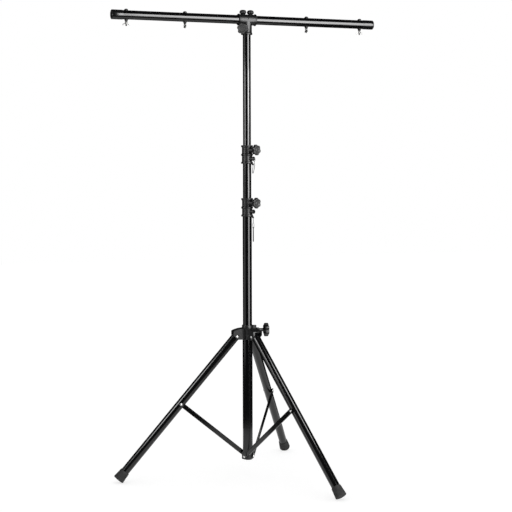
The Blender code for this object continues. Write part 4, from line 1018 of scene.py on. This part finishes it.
def head_mesh(s, bar, knob_screw):
    """The T head about its lower edge on the mast's axis."""
    socket = s.socket / 2
    lip = s.lip / 2
    rise = BAR_AXIS - HEAD_START
    body = turned([(0, 0), (lip - 0.0008, 0), (lip - 0.0002, 0.0003), (lip, 0.0008),
                   (lip, 0.5 * s.lip_height),
                   (lip - 0.0004, 0.62 * s.lip_height), (socket + 0.0004, 0.9 * s.lip_height),
                   (socket, 1.05 * s.lip_height), (socket, rise), (0, rise)], 64)
    end = s.sleeve_length / 2
    sleeve = s.sleeve / 2
    flange = s.flange / 2
    slope = flange - sleeve
    half = [(sleeve - 0.0008, 0.0006), (sleeve - 0.0003, 0.0010), (sleeve, 0.0014),
            (sleeve, end - s.flange_width), (sleeve + 0.5 * slope, end - s.flange_width + 0.3 * slope),
            (flange, end - s.flange_width + slope)]
    half += fillet((flange - 0.001, end - 0.001), 0.001, 0, 90, 4) + [(0, end)]
    profile = [(radius, -height) for radius, height in reversed(half)] + half
    bar_axis = at(0, 0, rise)
    boss = s.boss / 2
    knob_axis = spin_about_mast(s.knob_azimuth) @ at(0, 0, s.knob_rise) @ ALONG_X
    root = socket - 0.003
    adds = [turned(profile, 72, bar_axis @ ALONG_X),
            boss_solid([(1.12 * boss, root), (boss, socket + 0.002)], 0.92 * boss, 0.001, s.boss_reach,
                       knob_axis)]
    bar_bore = bar.bar / 2 + GAP
    cuts = [rod(tube_radius("top_tube") + GAP, -GAP, rise, 64),
            rod(bar_bore, -2 * end, 2 * end, 64, bar_axis @ ALONG_X),
            rod(knob_screw / 2 + GAP, 0, 2 * s.boss_reach, 24, knob_axis)]
    top_boss = s.bar_boss / 2
    for side in (-1, 1):
        spot = bar_axis @ at(side * s.bar_knob_offset, 0, 0)
        adds.append(boss_solid([(1.1 * top_boss, bar.bar / 2)], 0.9 * top_boss, 0.0006,
                               s.bar_boss_rise, spot))
        cuts.append(rod(BALL_SCREW_RADIUS + GAP, 0, 2 * s.bar_boss_rise, 24, spot))
    return worked("tee_head", body, [("UNION", adds), ("DIFFERENCE", cuts)])


class STAND_OT_head(bpy.types.Operator):
    """Build the T head that joins the crossbar to the mast"""
    bl_idname = "stand.head"
    bl_label = "T head"

    def execute(self, context):
        scene = context.scene
        mesh = head_mesh(scene.stand_head, scene.stand_bar, scene.stand_knobs.screw)
        add_piece("tee_head", mesh, "plastic", "head", "t_head", at(0, 0, HEAD_START))
        return {"FINISHED"}


# Crossbar

def cap_mesh(s):
    """A plastic cap over an outer end of the crossbar, along +X."""
    end = s.span / 2
    bore = s.bar / 2 + GAP
    wall = 0.0008
    outer = bore + wall
    start = end - s.cap
    inside = end - 0.004
    profile = [(0, end)] + fillet((outer - s.cap_edge, end - s.cap_edge), s.cap_edge, 90, 0, 7)
    profile += [(outer, start + 0.006), (bore + 0.0002, start), (bore, start), (bore, inside), (0, inside)]
    return to_mesh("end_cap", turned(profile, 64, ALONG_X), 45)


def bolt_head_mesh(s):
    """The bolt's black domed head, hollowed to the bar, about the bar's axis."""
    radius = s.bolt_head / 2
    bar = s.bar / 2
    height = s.bolt_height
    dome = [(radius * cos(a), bar + 0.2 * height + 0.8 * height * sin(a))
            for a in [radians(90 * k / 8) for k in range(9)]]
    head = turned([(0, bar - 0.0022), (radius, bar - 0.0022)] + dome[:-1] + [(0, bar + height)], 48)
    round_bar = rod(bar + GAP, -2 * radius, 2 * radius, 64, ALONG_X)
    return worked("domed_head", head, [("DIFFERENCE", [round_bar])])


def bolt_shaft_mesh(s):
    """The bolt's plated shaft with its thread, about the bar's axis."""
    shank = s.bolt / 2
    root = s.bar / 2
    tip = -root - s.bolt_drop
    pitch = 0.0011
    depth = 0.0003
    ridges = []
    for k in range(18):
        foot = tip + 0.001 + pitch * k
        ridges += [(shank - depth, foot), (shank, foot + 0.0004), (shank, foot + 0.0006),
                   (shank - depth, foot + 0.001)]
    return to_mesh("threaded_shaft", turned([(0, tip), (0.7 * shank, tip)] + ridges
                                            + [(shank, root), (0, root)], 28))


def saddle_mesh(s):
    """The tapered saddle under the bar, hollowed to it, about the bar's axis."""
    bar = s.bar / 2
    end = -bar - s.saddle_drop
    wide = s.saddle / 2
    narrow = s.saddle_end / 2
    drop = s.saddle_drop
    body = turned([(0, end), (narrow - 0.0004, end), (narrow, end + 0.0004), (narrow, end + 0.26 * drop),
                   (narrow + 0.1 * (wide - narrow), end + 0.40 * drop),
                   (narrow + 0.35 * (wide - narrow), end + 0.62 * drop),
                   (narrow + 0.75 * (wide - narrow), end + 0.88 * drop), (wide, end + drop),
                   (wide, -bar + 0.0025), (0, -bar + 0.0025)], 48)
    round_bar = rod(bar + GAP, -s.saddle, s.saddle, 64, ALONG_X)
    return worked("bolt_seat", body, [("DIFFERENCE", [round_bar, rod(s.bolt / 2 + GAP, 2 * end, 0, 24)])])


def wing_nut_mesh(s):
    """A cast wing nut whose wings point outward and down, about its upper face."""
    radius = s.nut / 2
    span = s.wing_span / 2
    drop = -s.wing_drop
    hole = s.bolt / 2 + GAP
    low = -s.nut_height
    body = turned([(0, 0), (radius - 0.0004, 0), (radius, -0.0004), (0.9 * radius, low + 0.0005),
                   (0.86 * radius, low), (0, low)], 40)
    root = hole + 0.0005
    wing = [(root, -0.0008), (0.34 * span, -0.0010), (0.5 * span, -0.0022), (0.68 * span, 0.34 * drop),
            (0.86 * span, 0.52 * drop), (0.95 * span, 0.63 * drop), (span, 0.78 * drop),
            (0.995 * span, 0.90 * drop), (0.95 * span, drop), (0.86 * span, drop), (0.78 * span, 0.95 * drop),
            (0.66 * span, 0.84 * drop), (0.55 * span, 0.72 * drop), (root, 0.85 * low)]
    half = s.wing / 2
    wings = [prism(wing, -half, half, spin_about_mast(turn) @ UPRIGHT) for turn in (0, pi)]
    bore = rod(hole, 2 * low, -low, 28)
    return worked("cast_wing_nut", body, [("UNION", wings), ("DIFFERENCE", [bore])], 0.0005)


class STAND_OT_crossbar(bpy.types.Operator):
    """Build the crossbar's end caps, lamp bolts, saddles and wing nuts"""
    bl_idname = "stand.crossbar"
    bl_label = "Crossbar fittings"

    def execute(self, context):
        s = context.scene.stand_bar
        cap = cap_mesh(s)
        head = bolt_head_mesh(s)
        shaft = bolt_shaft_mesh(s)
        saddle = saddle_mesh(s)
        nut = wing_nut_mesh(s)
        for word, turn in BAR_SIDES:
            body = f"bar_{word}"
            add_piece(f"end_cap_{word}", cap, "cap", body, f"bar_cap_{word}",
                      at(0, 0, BAR_AXIS) @ spin_about_mast(turn))
            for place, wings in (("outer", 0), ("inner", pi / 2)):
                low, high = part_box(f"wing_nut_{word}_{place}")
                name = f"{word}_{place}"
                spot = at((low.x + high.x) / 2, 0, BAR_AXIS) @ spin_about_mast(turn)
                add_piece(f"domed_head_{name}", head, "plastic", body, f"lamp_bolt_{name}", spot)
                add_piece(f"threaded_shaft_{name}", shaft, "zinc", body, f"lamp_bolt_{name}", spot)
                add_piece(f"bolt_seat_{name}", saddle, "plastic", body, f"bolt_saddle_{name}", spot)
                seat = at(0, 0, -s.bar / 2 - s.saddle_drop - s.nut_slack) @ spin_about_mast(wings)
                add_piece(f"cast_wing_nut_{name}", nut, "zinc", f"wing_nut_{name}", f"wing_nut_{name}",
                          spot @ seat)
        return {"FINISHED"}


# Lock pins

def lock_pin_mesh(name, pin_length, ring_diameter, ring_turn, ring_drop, s):
    """A lock pin along -Z from its head, with a wire ring through the head."""
    radius = s.pin / 2
    head = s.head / 2
    body = turned([(0, -pin_length), (0.5 * radius, -pin_length), (0.8 * radius, -pin_length + 0.0006),
                   (radius, -pin_length + 0.002), (radius, 0), (head - 0.0003, 0), (head, 0.0003),
                   (head, 0.7 * s.head_length), (0.9 * head, 0.88 * s.head_length),
                   (0.7 * head, s.head_length), (0, s.head_length)], 32)
    wire = s.ring_wire / 2
    major = ring_diameter / 2 - wire
    loop = [(major + wire * cos(2 * pi * k / 12), wire * sin(2 * pi * k / 12)) for k in range(12)]
    ring = turned(loop, 56, at(*ring_drop) @ ring_turn)
    return worked(name, body, [("UNION", [ring])])


class STAND_OT_lock_pins(bpy.types.Operator):
    """Build the two lock pins with their rings"""
    bl_idname = "stand.lock_pins"
    bl_label = "Lock pins"

    def execute(self, context):
        scene = context.scene
        s = scene.stand_locks
        collars = scene.stand_collars
        side = spin_about_mast(collars.azimuth)
        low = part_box("upper_collar")[1].z - collars.height
        upper = lock_pin_mesh("inserted_pin", collars.pin_reach - tube_radius("top_tube"), s.upper_ring,
                              Matrix(), (s.upper_ring / 2 - s.ring_wire / 2, 0, s.head_length / 2), s)
        seat = at(collars.pin_reach + GAP, 0, low + collars.pin_rise) @ ALONG_X
        add_piece("inserted_pin", upper, "steel", "upper_lock_pin", "upper_lock_pin", side @ seat)
        ring_turn = Matrix.Rotation(radians(60), 4, "Z") @ ALONG_X
        lift = s.head_length / 2
        hanging = lock_pin_mesh("hanging_pin", s.lower_length, s.lower_ring, ring_turn,
                                (0, 0, s.lower_ring / 2 - s.ring_wire / 2 + lift), s)
        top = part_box("lower_lock_pin")[0].z + s.lower_length - PIN_SWING[2]
        add_piece("hanging_pin", hanging, "steel", "lower_lock_pin", "lower_lock_pin",
                  at(*PIN_SWING) @ side @ at(LOWER_WIRE_LEAN, 0, top))
        return {"FINISHED"}


# Studio

class STAND_OT_camera(bpy.types.Operator):
    """Set the camera at the photograph's viewing angle"""
    bl_idname = "stand.camera"
    bl_label = "Camera"

    def execute(self, context):
        s = context.scene.stand_studio
        lens = bpy.data.cameras.new("camera")
        lens.lens = s.lens
        lens.sensor_width = 36
        lens.clip_end = 100
        camera = bpy.data.objects.new("camera", lens)
        context.scene.collection.objects.link(camera)
        place = at(s.distance * cos(s.azimuth), s.distance * sin(s.azimuth), s.height)
        heading = s.azimuth + pi / 2 - s.pan
        camera.matrix_world = (place @ Matrix.Rotation(heading, 4, "Z")
                               @ Matrix.Rotation(pi / 2 - s.pitch, 4, "X") @ Matrix.Rotation(s.roll, 4, "Z"))
        context.scene.camera = camera
        return {"FINISHED"}


def seen(flow):
    """1 for rays from the camera, from gloss and through glass, and 0 for the rest."""
    first = flow.node("ShaderNodeLightPath", output="Is Camera Ray")
    gloss = flow.node("ShaderNodeLightPath", output="Is Glossy Ray")
    glass = flow.node("ShaderNodeLightPath", output="Is Transmission Ray")
    return first.maths("MAXIMUM", first, first.maths("MAXIMUM", gloss, glass))


def soft_box(name, azimuth, distance, height, wide, tall, strength, facing=None):
    """A soft box that only gloss sees, facing the mast or a given point."""
    lamp = bpy.data.lights.new(name, "AREA")
    lamp.shape = "RECTANGLE"
    lamp.size = wide
    lamp.size_y = tall
    lamp.energy = strength * wide * tall * pi
    box = bpy.data.objects.new(name, lamp)
    bpy.context.scene.collection.objects.link(box)
    spot = spin_about_mast(radians(azimuth)) @ Vector((distance, 0, height))
    aim = (Vector(facing or (0, 0, height)) - spot).to_track_quat("-Z", "Y")
    box.matrix_world = at(*spot) @ aim.to_matrix().to_4x4()
    box.visible_camera = False
    box.visible_diffuse = False


class STAND_OT_studio(bpy.types.Operator):
    """Lay the pale floor, hang the dark cloth and set the soft boxes and the background"""
    bl_idname = "stand.studio"
    bl_label = "Studio"

    def execute(self, context):
        scene = context.scene
        s = scene.stand_studio
        scene.view_settings.view_transform = "Standard"
        world = bpy.data.worlds.new("studio")
        world.use_nodes = True
        scene.world = world
        flow = Flow(world.node_tree)
        back = world.node_tree.nodes["Background"]
        back.inputs["Color"].default_value = (*s.backdrop, 1)
        glow = 0.85 + 0.15 * seen(flow)
        world.node_tree.links.new(glow.socket, back.inputs["Strength"])
        wide = FLOOR_HALF
        top = FLOOR - FLOOR_DROP
        floor = bpy.data.objects.new("floor", to_mesh("floor", prism(
            [(-wide, -wide), (wide, -wide), (wide, wide), (-wide, wide)], top - FLOOR_THICKNESS, top)))
        scene.collection.objects.link(floor)
        pale, shader, flow = material("pale_floor")
        feed(shader, flow, base_color=(*scaled(s.backdrop, 0.92), 1), roughness=0.9, specular_ior_level=0.1)
        bright = flow.node("ShaderNodeEmission", {}, {"Color": (*s.backdrop, 1), "Strength": 1.25})
        lit = Flow(flow.tree, shader.outputs[0])
        even = flow.node("ShaderNodeMixShader", {}, {0: seen(flow) * (1 - s.shadow), 1: lit, 2: bright})
        flow.tree.links.new(even.socket, flow.tree.nodes["Material Output"].inputs["Surface"])
        floor.data.materials.append(pale)
        self.hang_flags(scene)
        soft_box("key_box", KEY_AZIMUTH, KEY_DISTANCE, 2.05, KEY_WIDTH, 2.3, s.key)
        soft_box("low_key_box", KEY_AZIMUTH, KEY_DISTANCE, 0.5, KEY_WIDTH, 0.8, 0.55 * s.key)
        soft_box("fill_box", -177, 3.0, 1.7, 1.4, 3.5, s.fill)
        soft_box("left_leg_box", -166, 1.9, 1.40, 0.6, 0.6, s.leg_light, (-0.30, 0.04, 0.2))
        soft_box("right_leg_box", -60, 0.95, 1.44, 0.45, 0.45, s.leg_light, (0.11, -0.28, 0.2))
        return {"FINISHED"}

    def hang_flags(self, scene):
        """Hang dark cloth round the set, over it and along the floor, which only gloss sees."""
        back = CLOTH_RADIUS + 0.1
        hem = 0.01
        profile = [(CLOTH_START, 0), (CLOTH_RADIUS, 0), (CLOTH_RADIUS, CLOTH_HEIGHT), (0, CLOTH_ROOF),
                   (0, CLOTH_ROOF + 0.1), (back, CLOTH_HEIGHT + 0.1), (back, -hem), (CLOTH_START, -hem)]
        flags = bpy.data.objects.new("dark_flags", to_mesh("dark_flags", turned(
            profile, 48, at(0, 0, FLOOR + 0.012))))
        scene.collection.objects.link(flags)
        cloth, shader, flow = material("dark_cloth")
        feed(shader, flow, base_color=(0.02, 0.02, 0.02, 1), roughness=1.0, specular_ior_level=0.0)
        flags.data.materials.append(cloth)
        flags.visible_camera = False
        flags.visible_diffuse = False
        flags.visible_transmission = False
        flags.visible_volume_scatter = False
        flags.visible_shadow = False


STEPS = (STAND_OT_camera, STAND_OT_wires, STAND_OT_tubes, STAND_OT_cad_finishes, STAND_OT_collars,
         STAND_OT_knobs, STAND_OT_hub, STAND_OT_feet, STAND_OT_head, STAND_OT_crossbar, STAND_OT_lock_pins,
         STAND_OT_studio)


class STAND_PT_panel(bpy.types.Panel):
    """Lists the steps and the sizes of the lighting stand"""
    bl_idname = "STAND_PT_panel"
    bl_label = "Lighting Stand"
    bl_space_type = "VIEW_3D"
    bl_region_type = "UI"
    bl_category = "Lighting Stand"

    def draw(self, context):
        for step in STEPS:
            self.layout.operator(step.bl_idname)
        for key, group in GROUPS.items():
            box = self.layout.box()
            box.label(text=group.__name__)
            settings = getattr(context.scene, key)
            for name in group.__annotations__:
                box.prop(settings, name)


def register():
    for group in GROUPS.values():
        bpy.utils.register_class(group)
    for key, group in GROUPS.items():
        setattr(bpy.types.Scene, key, PointerProperty(type=group))
    for step in STEPS:
        bpy.utils.register_class(step)
    bpy.utils.register_class(STAND_PT_panel)


def unregister():
    bpy.utils.unregister_class(STAND_PT_panel)
    for step in reversed(STEPS):
        bpy.utils.unregister_class(step)
    for key in GROUPS:
        delattr(bpy.types.Scene, key)
    for group in reversed(list(GROUPS.values())):
        bpy.utils.unregister_class(group)


def main():
    register()
    bpy.ops.stand.camera()
    bpy.ops.stand.wires()
    bpy.ops.stand.tubes()
    bpy.ops.stand.cad_finishes()
    bpy.ops.stand.collars()
    bpy.ops.stand.knobs()
    bpy.ops.stand.hub()
    bpy.ops.stand.feet()
    bpy.ops.stand.head()
    bpy.ops.stand.crossbar()
    bpy.ops.stand.lock_pins()
    bpy.ops.stand.studio()


if __name__ == "__main__":
    main()
